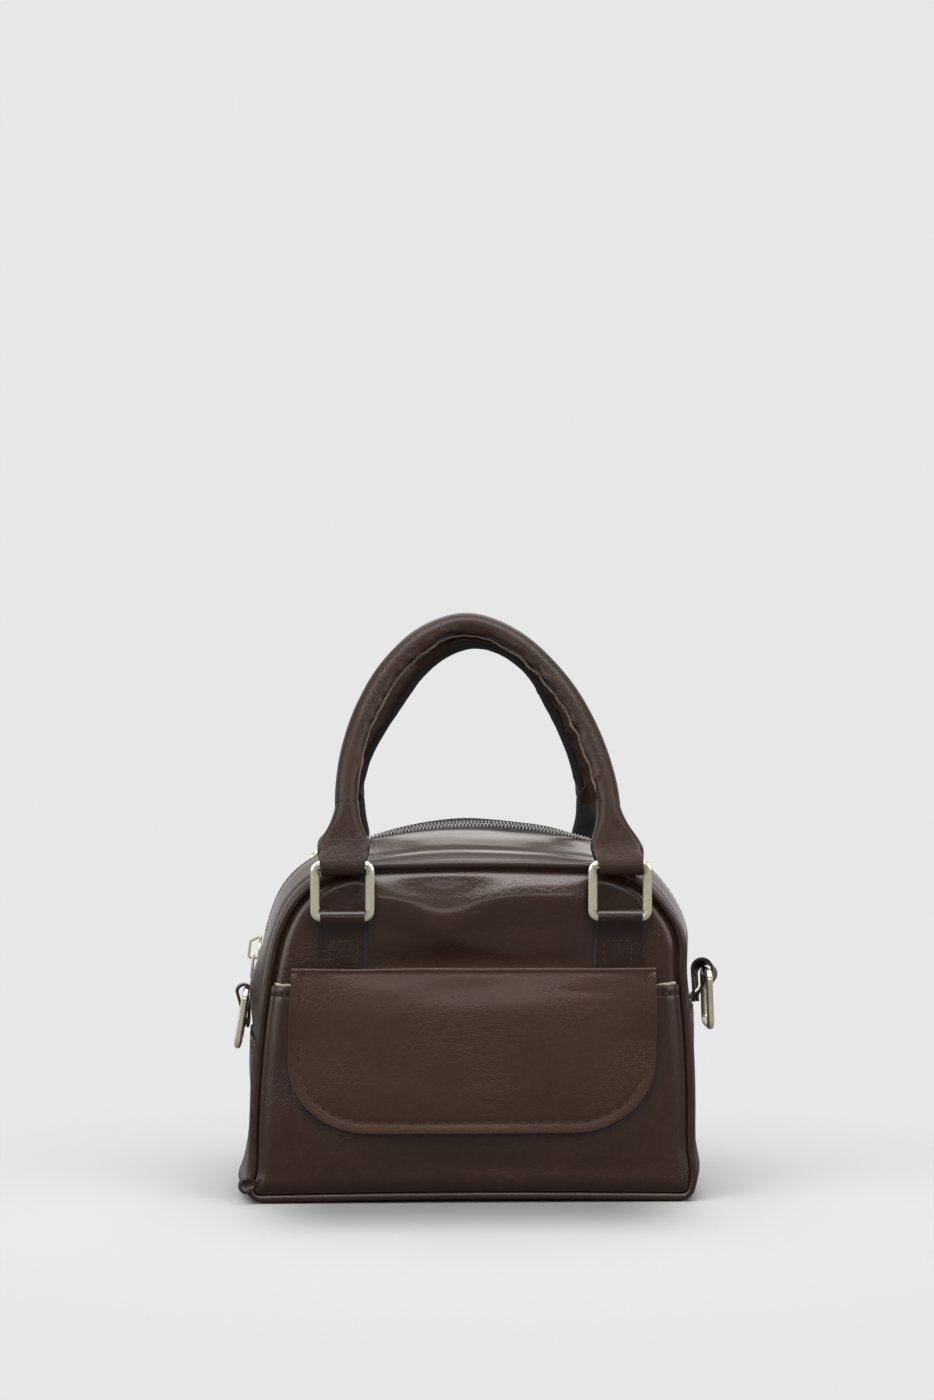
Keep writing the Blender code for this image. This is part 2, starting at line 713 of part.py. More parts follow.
def build_flap():
    pivot = Vector((0, -(PANEL_FACE + FLAP_AXIS_OUT), FLAP_AXIS_Z))
    face = sheet("flap_panel", flap_grid(0.0), flap_grid(LEATHER))
    face.transform(Matrix.Translation(-pivot))
    flap = put("flap_panel", face, leather("flap_panel"), location=pivot)
    under = LEATHER + GAP
    backing = sheet("flap_lining", flap_grid(under, FLAP_LINING_INSET, False),
                    flap_grid(under + LINING, FLAP_LINING_INSET, False))
    backing.transform(Matrix.Translation(-pivot))
    put("flap_lining", backing, material("flap_lining", BLACK, 0.6), location=pivot, parent=flap)

    back = PANEL_FACE + STRAP_FRONT_OUT + GAP
    front = PANEL_FACE + FLAP_AXIS_OUT - FLAP_ROLL_RADIUS - GAP
    high = FLAP_AXIS_Z + FLAP_ROLL_RADIUS * math.sin(FLAP_ROLL_END)
    leaf = box("flap_seam_strip", (-FLAP_HALF_WIDTH, -front, high - FLAP_LEAF_DEPTH),
               (FLAP_HALF_WIDTH, -back, high))
    put("flap_seam_strip", leaf, leather("flap_seam_strip"), smooth=0)

    disc = ellipse(SNAP_RADIUS, SNAP_RADIUS, ROUND_SIDES)
    seat = PANEL_FACE + POCKET_ROOM + POCKET_OUT + GAP
    socket = prism("snap_socket", disc, -seat, -seat - SNAP_THICKNESS, upright)
    put("snap_socket", socket, gold("snap_socket"), location=(0, 0, SNAP_Z))
    face_out = seat + SNAP_THICKNESS + GAP
    stud = prism("snap_stud", disc, -face_out - pivot.y, -face_out - SNAP_THICKNESS - pivot.y, upright)
    stud.transform(Matrix.Translation((0, 0, SNAP_Z - pivot.z)))
    put("snap_stud", stud, gold("snap_stud"), location=pivot, parent=flap)


def ring_mesh():
    """A rounded rectangular ring with its lower bar on the X axis, rising along Z."""
    corner = RING_CORNER - RING_WIRE / 2
    centres = [
        (BAR_X - corner, corner, -90),
        (BAR_X - corner, BAR_SPACING - corner, 0),
        (corner - BAR_X, BAR_SPACING - corner, 90),
        (corner - BAR_X, corner, 180),
    ]
    section = ellipse(RING_WIRE / 2, RING_WIRE_DEPTH / 2, RING_SIDES)
    rings = []
    for x, z, start in centres:
        for i in range(RING_CORNER_STEPS + 1):
            angle = math.radians(start + 90 * i / RING_CORNER_STEPS)
            out = Vector((math.cos(angle), 0, math.sin(angle)))
            centre = Vector((x, 0, z)) + out * corner
            rings.append([centre + out * a + Vector((0, b, 0)) for a, b in section])
    return tube("ring", rings, closed=True)


def strap_mesh(name, foot):
    """A strap folded over a bar on the X axis, its back leaf on the +Y side, down to height foot."""
    radius = LOOP_BORE + STRAP / 2
    pinch = radius - STRAP - GAP
    path = [(radius, foot), (radius, -radius * 0.3)]
    path += [
        (radius * math.cos(a), radius * math.sin(a))
        for a in (math.radians(d) for d in (22, 50, 78, 106, 134, 162, 190, 214))
    ]
    path += [(pinch, -radius * 1.76), (pinch, foot)]
    return prism(name, strip_polygon(path, STRAP), -STRAP_WIDTH / 2, STRAP_WIDTH / 2,
                 lambda a, b, depth: (depth, a, b))


def build_handle_rings():
    shape = ring_mesh()
    rings = {}
    for end, side in (("front", -1), ("rear", 1)):
        end_z = FRONT_STRAP_END_Z if side < 0 else REAR_STRAP_END_Z
        for hand, x in (("left", -HANDLE_RING_X), ("right", HANDLE_RING_X)):
            place = (x, side * TAB_BAR_OUT, HANDLE_RING_Z)
            tab = strap_mesh(f"{end}_tab_{hand}", end_z - HANDLE_RING_Z)
            turn = (0, 0, 0) if side < 0 else (0, 0, math.pi)
            put(tab.name, tab, leather(tab.name), location=place, rotation=turn)
            name = f"{end}_ring_{hand}"
            rings[name] = put(name, shape.copy(), gold(name), location=place,
                              rotation=(-side * HANDLE_RING_LEAN, 0, 0), smooth=60)
    return rings


def arch_point(angle):
    """A point of the handle's centre line, in its own plane. angle runs from 0, right, to pi, left."""
    across = math.cos(angle)
    power = 2 / HANDLE_ARCH_POWER
    return Vector(
        (
            math.copysign(abs(across) ** power, across) * HANDLE_LEG_X,
            0.0,
            HANDLE_LEG_HEIGHT + math.sin(angle) ** power * (HANDLE_HEIGHT - HANDLE_LEG_HEIGHT),
        )
    )


def arch_rings(section, start):
    """Copies of a section of (outward, through) points along the arch, from height start."""
    first = math.asin(((start - HANDLE_LEG_HEIGHT) / (HANDLE_HEIGHT - HANDLE_LEG_HEIGHT)) ** (HANDLE_ARCH_POWER / 2))
    rings = []
    step = 0.001
    for i in range(HANDLE_STATIONS + 1):
        angle = first + (math.pi - 2 * first) * i / HANDLE_STATIONS
        centre = arch_point(angle)
        along = arch_point(min(math.pi, angle + step)) - arch_point(max(0.0, angle - step))
        if i in (0, HANDLE_STATIONS):
            along = Vector((0, 0, 1 if i == 0 else -1))
        out = Vector((along.z, 0, -along.x)).normalized()
        rings.append([centre + out * a + Vector((0, b, 0)) for a, b in section])
    return rings


def handle_cover_mesh():
    """Leather wrapped round the core with a slit on the arch's inner side, and flared ends that loop
    round bars on the X axis."""
    steps = HANDLE_SECTION_STEPS
    reach = math.pi - HANDLE_SLIT
    angles = [-reach + 2 * reach * i / steps for i in range(steps + 1)]
    outer = [(HANDLE_RADIUS * math.cos(a), HANDLE_RADIUS * math.sin(a)) for a in angles]
    bore = HANDLE_RADIUS - LEATHER
    inner = [(bore * math.cos(a), bore * math.sin(a)) for a in reversed(angles)]
    wrap = tube("wrap", arch_rings(outer + inner, HANDLE_LEG_HEIGHT))

    plug = HANDLE_RADIUS - LEATHER / 2
    flat = HANDLE_TAB_THICKNESS / 2
    loop = LOOP_BORE + STRAP
    profile = [
        (HANDLE_LEG_HEIGHT + LEATHER, plug - LEATHER / 4, plug - LEATHER / 4, 2.0),
        (HANDLE_LEG_HEIGHT - LEATHER, HANDLE_RADIUS, HANDLE_RADIUS, 2.0),
        (0.0215, 0.0078, 0.0044, 2.3),
        (0.0140, 0.0110, 0.0028, 2.8),
        (0.0085, HANDLE_TAB_WIDTH / 2, flat, 3.2),
        (0.0030, HANDLE_LOOP_WIDTH / 2 + 0.0006, flat, 3.2),
        (0.0, HANDLE_LOOP_WIDTH / 2 - LEATHER / 2, flat, 3.2),
    ]
    ends = []
    bores = []
    for hand in (1, -1):
        rings = []
        for height, wide, tall, power in profile:
            lean = (HANDLE_LEG_X - HANDLE_RING_X) * min(1.0, height / HANDLE_LEG_HEIGHT)
            x = hand * (HANDLE_RING_X + lean)
            rings.append([Vector((x + a, b, height)) for a, b in ellipse(wide, tall, ROUND_SIDES, power)])
        ends.append(tube("flare", rings))
        eye = (hand * HANDLE_RING_X, 0, 0)
        ends.append(rod("loop", eye, loop, HANDLE_LOOP_WIDTH / 2))
        bores.append(rod("bore", eye, LOOP_BORE, HANDLE_LOOP_WIDTH))
    return combined("handle_cover", wrap, ends, bores)


def build_handles(rings):
    cover = handle_cover_mesh()
    radius = HANDLE_RADIUS - LEATHER - GAP
    core = tube("handle_core", arch_rings(ellipse(radius, radius, CORE_SIDES),
                                          HANDLE_LEG_HEIGHT + LEATHER + GAP))
    for end, side, lean in (("front", -1, FRONT_HANDLE_LEAN), ("rear", 1, REAR_HANDLE_LEAN)):
        place = (0, side * RING_TOP_OUT, RING_TOP_Z)
        turn = (side * lean, 0, 0)
        held = rings[f"{end}_ring_left"]
        name = f"{end}_handle_cover"
        made = put(name, cover.copy(), leather(name), location=place, rotation=turn, parent=held)
        name = f"{end}_handle_core"
        put(name, core.copy(), material(name, BLACK, 0.8), location=place, rotation=turn, parent=made,
            smooth=60)


def build_side_rings():
    shape = ring_mesh()
    sides = (
        ("left", -1, SIDE_LOOP_Z_LEFT, SEAM_Z_LEFT, SIDE_LOOP_RADIUS_LEFT, SIDE_RING_LEAN_LEFT),
        ("right", 1, SIDE_LOOP_Z_RIGHT, SEAM_Z_RIGHT, SIDE_LOOP_RADIUS_RIGHT, SIDE_RING_LEAN_RIGHT),
    )
    for hand, side, loop_z, seam_z, radius, lean in sides:
        origin, out, up = crown_frame(loop_z, side)
        foot = (seam_z - loop_z) / up.z + GAP
        inner = GAP + STRAP / 2
        centre = inner + radius
        path = [(inner, foot), (inner, -radius * 0.4)]
        path += [
            (centre - radius * math.cos(a), radius * math.sin(a))
            for a in (SIDE_LOOP_STEP * (i + 0.35) for i in range(8))
        ]
        path += [(inner + STRAP + GAP, foot + STRAP * 2), (inner + STRAP + GAP, foot)]
        name = f"side_tab_{hand}"
        tab = prism(name, strip_polygon(path, STRAP), -SIDE_TAB_WIDTH / 2, SIDE_TAB_WIDTH / 2,
                    lambda a, b, depth: out * a + up * b + Vector((0, depth, 0)))
        put(name, tab, leather(name), location=origin)

        play = radius * math.cos(SIDE_LOOP_STEP / 2) - STRAP / 2 - RING_WIRE / 2 - GAP
        bar = origin + out * (centre + play * math.cos(SIDE_RING_HANG))
        bar -= up * (play * math.sin(SIDE_RING_HANG))
        name = f"side_ring_{hand}"
        facing = Matrix.Rotation(math.pi / 2, 4, "Z")
        hang = Matrix.Rotation(math.pi, 4, "X")
        swing = Matrix.Rotation(-side * lean, 4, "Y")
        ring = put(name, shape.copy(), gold(name), location=bar, smooth=60)
        ring.matrix_world = Matrix.Translation(bar) @ swing @ hang @ facing


def clear_scene():
    for old in list(bpy.data.objects):
        bpy.data.objects.remove(old)


clear_scene()
build_panels()
build_piping()
build_gusset()
build_slider()
build_pocket()
build_flap()
build_handles(build_handle_rings())
build_side_rings()
bpy.context.view_layer.update()
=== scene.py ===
"""The looks of a small domed crossbody bag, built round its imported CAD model.

Lengths in this file are in millimetres and are turned into metres where a mesh is made. Shader
distances, lamps, camera and stage are in metres.
"""

import json
import math
from bisect import bisect_left, bisect_right

import bmesh
import bpy
from mathutils import Matrix, Vector, noise

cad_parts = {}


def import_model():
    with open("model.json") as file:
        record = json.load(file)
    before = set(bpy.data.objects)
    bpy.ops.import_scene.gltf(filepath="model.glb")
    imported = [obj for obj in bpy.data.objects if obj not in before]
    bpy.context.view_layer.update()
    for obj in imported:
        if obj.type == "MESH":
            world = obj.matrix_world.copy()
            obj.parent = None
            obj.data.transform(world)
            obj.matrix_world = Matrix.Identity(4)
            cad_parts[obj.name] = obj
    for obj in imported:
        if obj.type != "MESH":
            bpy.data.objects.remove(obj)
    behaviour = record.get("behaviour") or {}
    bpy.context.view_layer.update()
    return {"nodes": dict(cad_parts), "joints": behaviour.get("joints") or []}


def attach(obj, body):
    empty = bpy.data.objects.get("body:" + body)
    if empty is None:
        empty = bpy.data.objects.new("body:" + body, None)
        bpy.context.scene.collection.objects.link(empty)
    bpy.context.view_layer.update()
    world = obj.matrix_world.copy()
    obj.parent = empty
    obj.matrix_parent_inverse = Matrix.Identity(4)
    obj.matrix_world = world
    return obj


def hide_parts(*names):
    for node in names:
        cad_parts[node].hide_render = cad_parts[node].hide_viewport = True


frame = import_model()

MM = 0.001
LEAN = 0.018  # the soft bag leans this much to its right for each unit of height
BOW = 1.2  # rise of the front and rear edges' lower middle

# Sizes that the CAD model states
PIPING_RADIUS = 2.0
PIPING_Y = 41.0
GUSSET_EDGE_Y = 38.7
PANEL_FACE = 42.0
EDGE_SIZES = (104.5, 30, 161, 549, 46, 1200, 6, 0)
CROWN_SIZES = (107.5, 40, 178, 710, 52, 210, 8, 0)
SEAM_LEFT = 79.0
SEAM_RIGHT = 90.5
SEAM_LAP = 10.0
SLOT = 5.5
FLAP_FACE = 53.6
FLAP_TOP = 111.0
FLAP_ROLL = 3.0
FLAP_CORNER = (38.0, 33.0)
POCKET_TOP = 102.0
POCKET_ROOM = 4.6
RING_X = 65.0
RING_Y = 46.3
RING_Z = 134.5
RING_SPACING = 24.6
RING_LEAN = math.radians(4.5)
STRAP_WIDTH = 20.5
STRAP = 1.4
LEATHER = 1.2
LINING = 0.5
BAND_DEPTH = 1.5
LINING_DEPTH = 3.8
POCKET_FACE = 2.3
SNAP_Z = 50
HANDLE_RADIUS = 5.4
LEG_X = 61.5
LEG_TOP = 27.5
HANDLE_TOP = 118.7
ARCH_POWER = 1.8

# Sizes that follow the photograph
ZIP_DIP = 2.3  # the bands dip this much beside the coil, which stands up between them
ZIP_TILT = 0.42  # rise across the coil, which faces a little forwards at the crown
ZIP_CREST = (168, 177)  # the heights between which dip and tilt set in
COIL_Y = 1.35
COIL_PITCH = 1.75
FLAP_HALF = 85.8
FLAP_LOW = 34.2
FLAP_SHIFT = -1.2
FLAP_EASE = 2.0  # the flap leans back this much just below its fold
RING_SHIFT = 2.0  # the front rings hang this much to the right
SLIDER_SHIFT = 1.4  # the left end of the zip is drawn in by this much
STITCH_INSET = 3.8  # from the edges of the base gusset and of the pocket to their stitches
EDGE_SHARE = 0.9  # of the half width of pocket and flap, from where their points lie closer
TAB_LOOP = 3.3  # radius of the handle tabs' loops
TAB_STITCH_X = 6.6
TAB_SEWN = RING_Z - 11.2  # the upper end of the handle tabs' stitches


def smooth(value, low=0.0, high=1.0):
    """0 below low, 1 above high and a soft step between them."""
    share = min(1.0, max(0.0, (value - low) / (high - low)))
    return share * share * (3 - 2 * share)


def bump(value, centre, width):
    return math.exp(-(((value - centre) / width) ** 2))


def mix(a, b, share):
    return a + (b - a) * share


def wave(x, y, z, scale, seed=0.0):
    """Smooth noise from about -1 to 1 whose features are about scale mm across."""
    return noise.noise(Vector((x / scale + seed, y / scale - seed, z / scale + 2 * seed))) * 1.6


ENDS = (("front", -1), ("rear", 1))


def spread(first, last, step):
    count = max(1, round(abs(last - first) / step))
    return [first + (last - first) * i / count for i in range(count + 1)]


def mirrored(values):
    """Values from 0 up, with their negatives before them."""
    return [-v for v in reversed(values[1:])] + values


def around(count):
    """Cosines and sines of angles all round a circle."""
    return [(math.cos(2 * math.pi * k / count), math.sin(2 * math.pi * k / count)) for k in range(count)]


def reaches(points):
    """How far along a line of points each of them is."""
    found = [0.0]
    for a, b in zip(points, points[1:]):
        found.append(found[-1] + (b - a).length)
    return found


def paired(rows, columns, function):
    """Front and back grids of points from function(row, column), which gives a pair of them."""
    pairs = [[function(row, column) for column in columns] for row in rows]
    return [[[pair[k] for pair in line] for line in pairs] for k in (0, 1)]


class Outline:
    """A dome outline of tangent lines and arcs, numbered as in the CAD model: 0 to 6 up the right
    half from the middle of the floor, negative numbers mirrored, 6 to 12 on down the left."""

    def __init__(self, *sizes):
        self.sizes = sizes
        half_width, widest_z, top_z, side_radius, corner_radius, top_radius, foot, floor_z = sizes
        self.half_width, self.widest_z, self.side_radius, self.foot, self.floor_z = (
            half_width, widest_z, side_radius, foot, floor_z)
        self.low = floor_z + foot
        side = Vector((half_width - side_radius, widest_z))
        top = Vector((0.0, top_z - top_radius))
        side_reach = side_radius - corner_radius
        top_reach = top_radius - corner_radius
        apart = (top - side).length
        along = (side_reach**2 - top_reach**2 + apart**2) / (2 * apart)
        across = math.sqrt(side_reach**2 - along**2)
        towards = (top - side).normalized()
        corner = side + towards * along + Vector((-towards.y, towards.x)) * across
        self.side_x = side.x
        self.side_end = math.atan2(corner.y - side.y, corner.x - side.x)
        corner_end = math.atan2(corner.y - top.y, corner.x - top.x)
        self.arcs = {
            1: (Vector((half_width - foot, self.low)), foot, -math.pi / 2, 0.0),
            3: (side, side_radius, 0.0, self.side_end),
            4: (corner, corner_radius, self.side_end, corner_end),
            5: (top, top_radius, corner_end, math.pi / 2),
        }

    def inset(self, distance, lift=0.0):
        width, widest, top, side, corner, crown, foot, floor = self.sizes
        return Outline(width - distance, widest, top - distance, side - distance, corner - distance,
                       crown - distance, max(0.4, foot - distance), floor + distance + lift)

    def place(self, t):
        """The point at a number, and the outward normal there."""
        if t > 6:
            t -= 12
        sign = -1 if t < 0 else 1
        t = abs(t)
        number = min(int(t), 5)
        share = t - number
        if number == 0:
            point = Vector((share * (self.half_width - self.foot), self.floor_z))
            normal = Vector((0.0, -1.0))
        elif number == 2:
            point = Vector((self.half_width, self.low + share * (self.widest_z - self.low)))
            normal = Vector((1.0, 0.0))
        else:
            centre, radius, first, last = self.arcs[number]
            angle = first + share * (last - first)
            normal = Vector((math.cos(angle), math.sin(angle)))
            point = centre + normal * radius
        point.x *= sign
        normal.x *= sign
        return point, normal

    def number_at(self, z):
        if z < self.widest_z:
            return 2 + (z - self.low) / (self.widest_z - self.low)
        return 3 + math.asin((z - self.widest_z) / self.side_radius) / self.side_end

    def half_width_at(self, z):
        if z < self.low:
            return self.half_width - self.foot + math.sqrt(max(0.0, self.foot**2 - (self.low - z) ** 2))
        if z < self.widest_z:
            return self.half_width
        return self.side_x + math.sqrt(self.side_radius**2 - (z - self.widest_z) ** 2)

    def numbers(self, first, last, step):
        """Numbers from first to last, about step mm apart along the outline."""
        found = [first]
        segment = math.floor(first)
        while segment < last:
            low = max(first, segment)
            high = min(last, segment + 1)
            if high - low > 1e-9:
                length = reaches([self.place(low + (high - low) * i / 8)[0] for i in range(9)])[-1]
                count = max(1, round(length / step))
                found += [low + (high - low) * (i + 1) / count for i in range(count)]
            segment += 1
        return found


EDGE = Outline(*EDGE_SIZES)
CROWN = Outline(*CROWN_SIZES)
PANEL_OUTLINE = EDGE.inset(4.3, lift=0.3)


# ---------------------------------------------------------------- materials


def join(socket, value):
    """Links a socket to another socket, or else sets its value."""
    if isinstance(value, bpy.types.NodeSocket):
        socket.id_data.links.new(value, socket)
    else:
        socket.default_value = value


def feed(node, **settings):
    """Settings are a node's inputs, by name with _ for a space, or its own attributes."""
    for key, value in settings.items():
        name = key.replace("_", " ")
        if name in node.inputs:
            join(node.inputs[name], value)
        else:
            setattr(node, key, value)


def add(tree, kind, *values, out=0, **settings):
    """One output of a new shader node. Values are for its inputs in order."""
    node = tree.nodes.new("ShaderNode" + kind)
    feed(node, **settings)
    for socket, value in zip(node.inputs, values):
        join(socket, value)
    return node.outputs[out]


def node_material(name):
    made = bpy.data.materials.new(name)
    made.use_nodes = True
    tree = made.node_tree
    return made, tree, tree.nodes["Principled BSDF"], add(tree, "TexCoord", out="Object")


def noise_node(tree, place, scale, detail=2.0, roughness=0.5, distortion=0.0, out=0):
    return add(tree, "TexNoise", out=out, Vector=place, Scale=scale, Detail=detail, Roughness=roughness,
               Distortion=distortion)


def ramp(tree, source, *stops):
    """Colours or greys that follow a value, from two (position, colour) stops."""
    found = add(tree, "ValToRGB", source)
    for element, (position, colour) in zip(found.node.color_ramp.elements, stops):
        element.position = position
        element.color = (*colour, 1.0) if isinstance(colour, tuple) else (colour, colour, colour, 1.0)
    return found


def multiply(tree, share, a, b):
    return add(tree, "Mix", out="Result", data_type="RGBA", blend_type="MULTIPLY", Factor=share, A=a, B=b)


def bumps(tree, *layers):
    """A chain of bump nodes. Each layer is (height, distance in metres, strength)."""
    below = {}
    for height, distance, strength in layers:
        below = {"Normal": add(tree, "Bump", Height=height, Distance=distance, Strength=strength, **below)}
    return below["Normal"]


def leather(name, light, dark, gloss=0.33, grain=1.0, coat=0.20, specular=0.32):
    """Coated leather: soft unevenness, wrinkles that come in patches, and a pebbled grain."""
    made, tree, shader, place = node_material(name)
    cloud = noise_node(tree, place, 28, 4.0, 0.55)
    speck = ramp(tree, noise_node(tree, place, 420, 3.0, 0.6), (0.35, 0.82), (0.65, 1.0))
    tone = multiply(tree, 1.0, ramp(tree, cloud, (0.30, dark), (0.70, light)), speck)
    shine = ramp(tree, cloud, (0.3, gloss + 0.05), (0.7, gloss - 0.03))
    pebbles = add(tree, "TexVoronoi", feature="SMOOTH_F1", Vector=place, Scale=1500.0, Smoothness=0.7)
    bent = noise_node(tree, place, 90, 2.0, out="Color")
    shifted = add(tree, "VectorMath", bent, (0.004, 0.004, 0.004), place, operation="MULTIPLY_ADD")
    cracks = add(tree, "TexVoronoi", feature="DISTANCE_TO_EDGE", Vector=shifted, Scale=330.0)
    creases = ramp(tree, cracks, (0.0, 0.0), (0.12, 1.0))
    patches = ramp(tree, noise_node(tree, place, 24, 2.0), (0.47, 0.25), (0.60, 1.0))
    relief = bumps(
        tree,
        (noise_node(tree, place, 130, 2.0), 0.00045, 0.30 * grain),
        (multiply(tree, patches, (1.0, 1.0, 1.0, 1.0), creases), 0.00011, 0.75 * grain),
        (pebbles, 0.00007, 0.45 * grain),
    )
    feed(shader, Base_Color=tone, Roughness=shine, Normal=relief, Coat_Weight=coat, Coat_Roughness=0.20,
         Specular_IOR_Level=specular)
    return made


def plain(name, light, dark, roughness, scale, distance, sheen=0.0):
    """A surface whose tone and relief both follow one fine noise."""
    made, tree, shader, place = node_material(name)
    fine = noise_node(tree, place, scale, 4.0, 0.6)
    feed(shader, Base_Color=ramp(tree, fine, (0.3, dark), (0.7, light)), Roughness=roughness,
         Normal=bumps(tree, (fine, distance, 0.6)), Sheen_Weight=sheen)
    return made


def cloth(name, light, dark, pitch, sheen=0.3):
    """A plain weave: two wave textures that cross."""
    made, tree, shader, place = node_material(name)
    waves = [add(tree, "TexWave", out="Fac", bands_direction=direction, Vector=place, Scale=1 / pitch,
                 Distortion=1.2, Detail=1.0) for direction in ("X", "Z")]
    weave = add(tree, "Math", *waves, operation="MULTIPLY")
    feed(shader, Base_Color=ramp(tree, weave, (0.0, dark), (0.8, light)), Roughness=0.85,
         Normal=bumps(tree, (weave, 0.00015, 0.8)), Sheen_Weight=sheen)
    return made


def metal(name, colour, roughness):
    made, tree, shader, place = node_material(name)
    tone = ramp(tree, noise_node(tree, place, 60, 3.0), (0.3, tuple(c * 0.93 for c in colour)), (0.7, colour))
    scratches = noise_node(tree, place, 900, 2.0, 0.7, 1.5)
    feed(shader, Base_Color=tone, Normal=bumps(tree, (scratches, 0.000004, 0.12)), Metallic=0.78,
         Roughness=ramp(tree, scratches, (0.3, roughness * 0.8), (0.7, roughness * 1.25)))
    return made


BODY_LEATHER = leather("body_leather", (0.037, 0.0163, 0.0090), (0.028, 0.0118, 0.0066), 0.30, coat=0.42)
FLAP_LEATHER = leather("flap_leather", (0.052, 0.0232, 0.0130), (0.042, 0.0182, 0.0102), 0.38, 1.2)
# A darker copy of the leather for the handle tabs: painted shade for their shadow under the rings.
TAB_LEATHER_SHADED = leather("tab_leather_painted_shade", (0.021, 0.0090, 0.0058), (0.015, 0.0062, 0.0041), 0.27, coat=0.28)
HANDLE_LEATHER = leather("handle_leather", (0.037, 0.0172, 0.0105), (0.029, 0.0130, 0.0080), 0.36,
                         coat=0.06, specular=0.24)
PIPING_LEATHER = leather("piping_leather", (0.034, 0.0150, 0.0095), (0.025, 0.0105, 0.0066), 0.32, 0.7, 0.3)
RAW_EDGE = plain("raw_edge", (0.24, 0.17, 0.14), (0.12, 0.075, 0.06), 0.8, 900, 0.00008)
# A lighter strip along the flap's front rim: painted highlight where the cut edge catches the light.
CUT_EDGE_HIGHLIGHT = plain("cut_edge_painted_highlight", (0.16, 0.10, 0.075), (0.08, 0.045, 0.032), 0.7, 900, 0.00005)
EDGE_PAINT = plain("edge_paint", (0.020, 0.019, 0.018), (0.010, 0.009, 0.009), 0.55, 700, 0.00005)
BLACK_LINING = plain("black_lining", (0.016, 0.016, 0.017), (0.006, 0.006, 0.007), 0.75, 900, 0.00008, 0.1)
THREAD = plain("thread", (0.100, 0.024, 0.014), (0.045, 0.010, 0.007), 0.65, 2500, 0.00008)
# Near-black discs at the needle holes: painted shade for the holes' dark insides.
NEEDLE_HOLE_SHADE = plain("needle_hole_painted_shade", (0.008, 0.005, 0.004), (0.003, 0.002, 0.002), 0.9, 800, 0.00002)
CREAM_CLOTH = cloth("cream_cloth", (0.74, 0.67, 0.50), (0.50, 0.43, 0.30), 0.0007)
ZIP_TAPE = cloth("zip_tape", (0.016, 0.015, 0.016), (0.005, 0.005, 0.006), 0.0005, 0.15)
BODY_LINING = cloth("body_lining", (0.13, 0.09, 0.065), (0.07, 0.045, 0.032), 0.0006)
ZIP_TEETH = plain("zip_teeth", (0.34, 0.325, 0.315), (0.22, 0.21, 0.20), 0.36, 600, 0.00003)
GOLD = metal("pale_gold", (0.90, 0.83, 0.64), 0.20)
BOARD = plain("board", (0.24, 0.23, 0.21), (0.16, 0.15, 0.14), 0.8, 500, 0.0001)
LINED_LEATHER = [BODY_LEATHER, EDGE_PAINT, BODY_LINING]
FOLDED_LEATHER = [BODY_LEATHER, BODY_LEATHER, BODY_LINING]


# ---------------------------------------------------------------- meshes


def settle(point):
    """The soft body's own shape: fuller right shoulder, drawn-in left one, spread lower corners."""
    x, y, z = point
    if x > 0:
        x += smooth(x, 55, 98) * (2.4 * bump(z, 124, 14) + 1.8 * bump(z, 13, 9))
    else:
        x += smooth(-x, 55, 98) * (0.8 * bump(z, 131, 13) - 1.7 * bump(z, 8, 4.5))
    return Vector((x, y, z))


def bow(point):
    """Lifts the lower middle of the front and rear edges a little, as a soft bag does."""
    x, y, z = point
    lift = BOW * max(0.0, 1 - (x / 98) ** 2) * min(1.0, abs(y) / PIPING_Y) ** 6 * math.exp(-max(0.0, z) / 22)
    return Vector((x, y, z + lift))


def show(name, data):
    made = bpy.data.objects.new(name, data)
    bpy.context.scene.collection.objects.link(made)
    return made


def piece(name, shell, materials, *nodes, body="bag", slot=None, sharp=40, soft=False):
    """An object in metres from a shell of points in millimetres, faces, and their materials' numbers.
    It stands for the named CAD nodes."""
    points, faces, marks = shell
    if soft:
        points = [settle(p) for p in points]
    mesh = bpy.data.meshes.new(name)
    mesh.from_pydata([((x + LEAN * z) * MM, y * MM, z * MM) for x, y, z in points], [], faces)
    for finish in materials:
        mesh.materials.append(finish)
    if len(materials) > 1:
        mesh.polygons.foreach_set("material_index", marks)
    solid = bmesh.new()
    solid.from_mesh(mesh)
    bmesh.ops.recalc_face_normals(solid, faces=solid.faces[:])
    solid.to_mesh(mesh)
    solid.free()
    mesh.shade_smooth()
    mesh.set_sharp_from_angle(angle=math.radians(sharp))
    made = show(name, mesh)
    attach(made, body)
    if nodes:
        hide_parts(*nodes)
    return made


def cloth_sheet(made, grid, closed=False):
    """Works out how far a grid of points reaches across and along, in metres, and keeps neither; the piece is not
    used. grid holds its rows of points, in millimetres.
    """
    rows = [row + row[:1] for row in grid] if closed else grid
    across = max(reaches(row)[-1] for row in rows) * MM
    along = max(reaches(column)[-1] for column in zip(*grid)) * MM


def trimmed(points, faces, marks):
    """The same shell without the points that no face uses."""
    used = sorted({i for face in faces for i in face})
    order = {old: new for new, old in enumerate(used)}
    return [points[i] for i in used], [[order[i] for i in face] for face in faces], marks


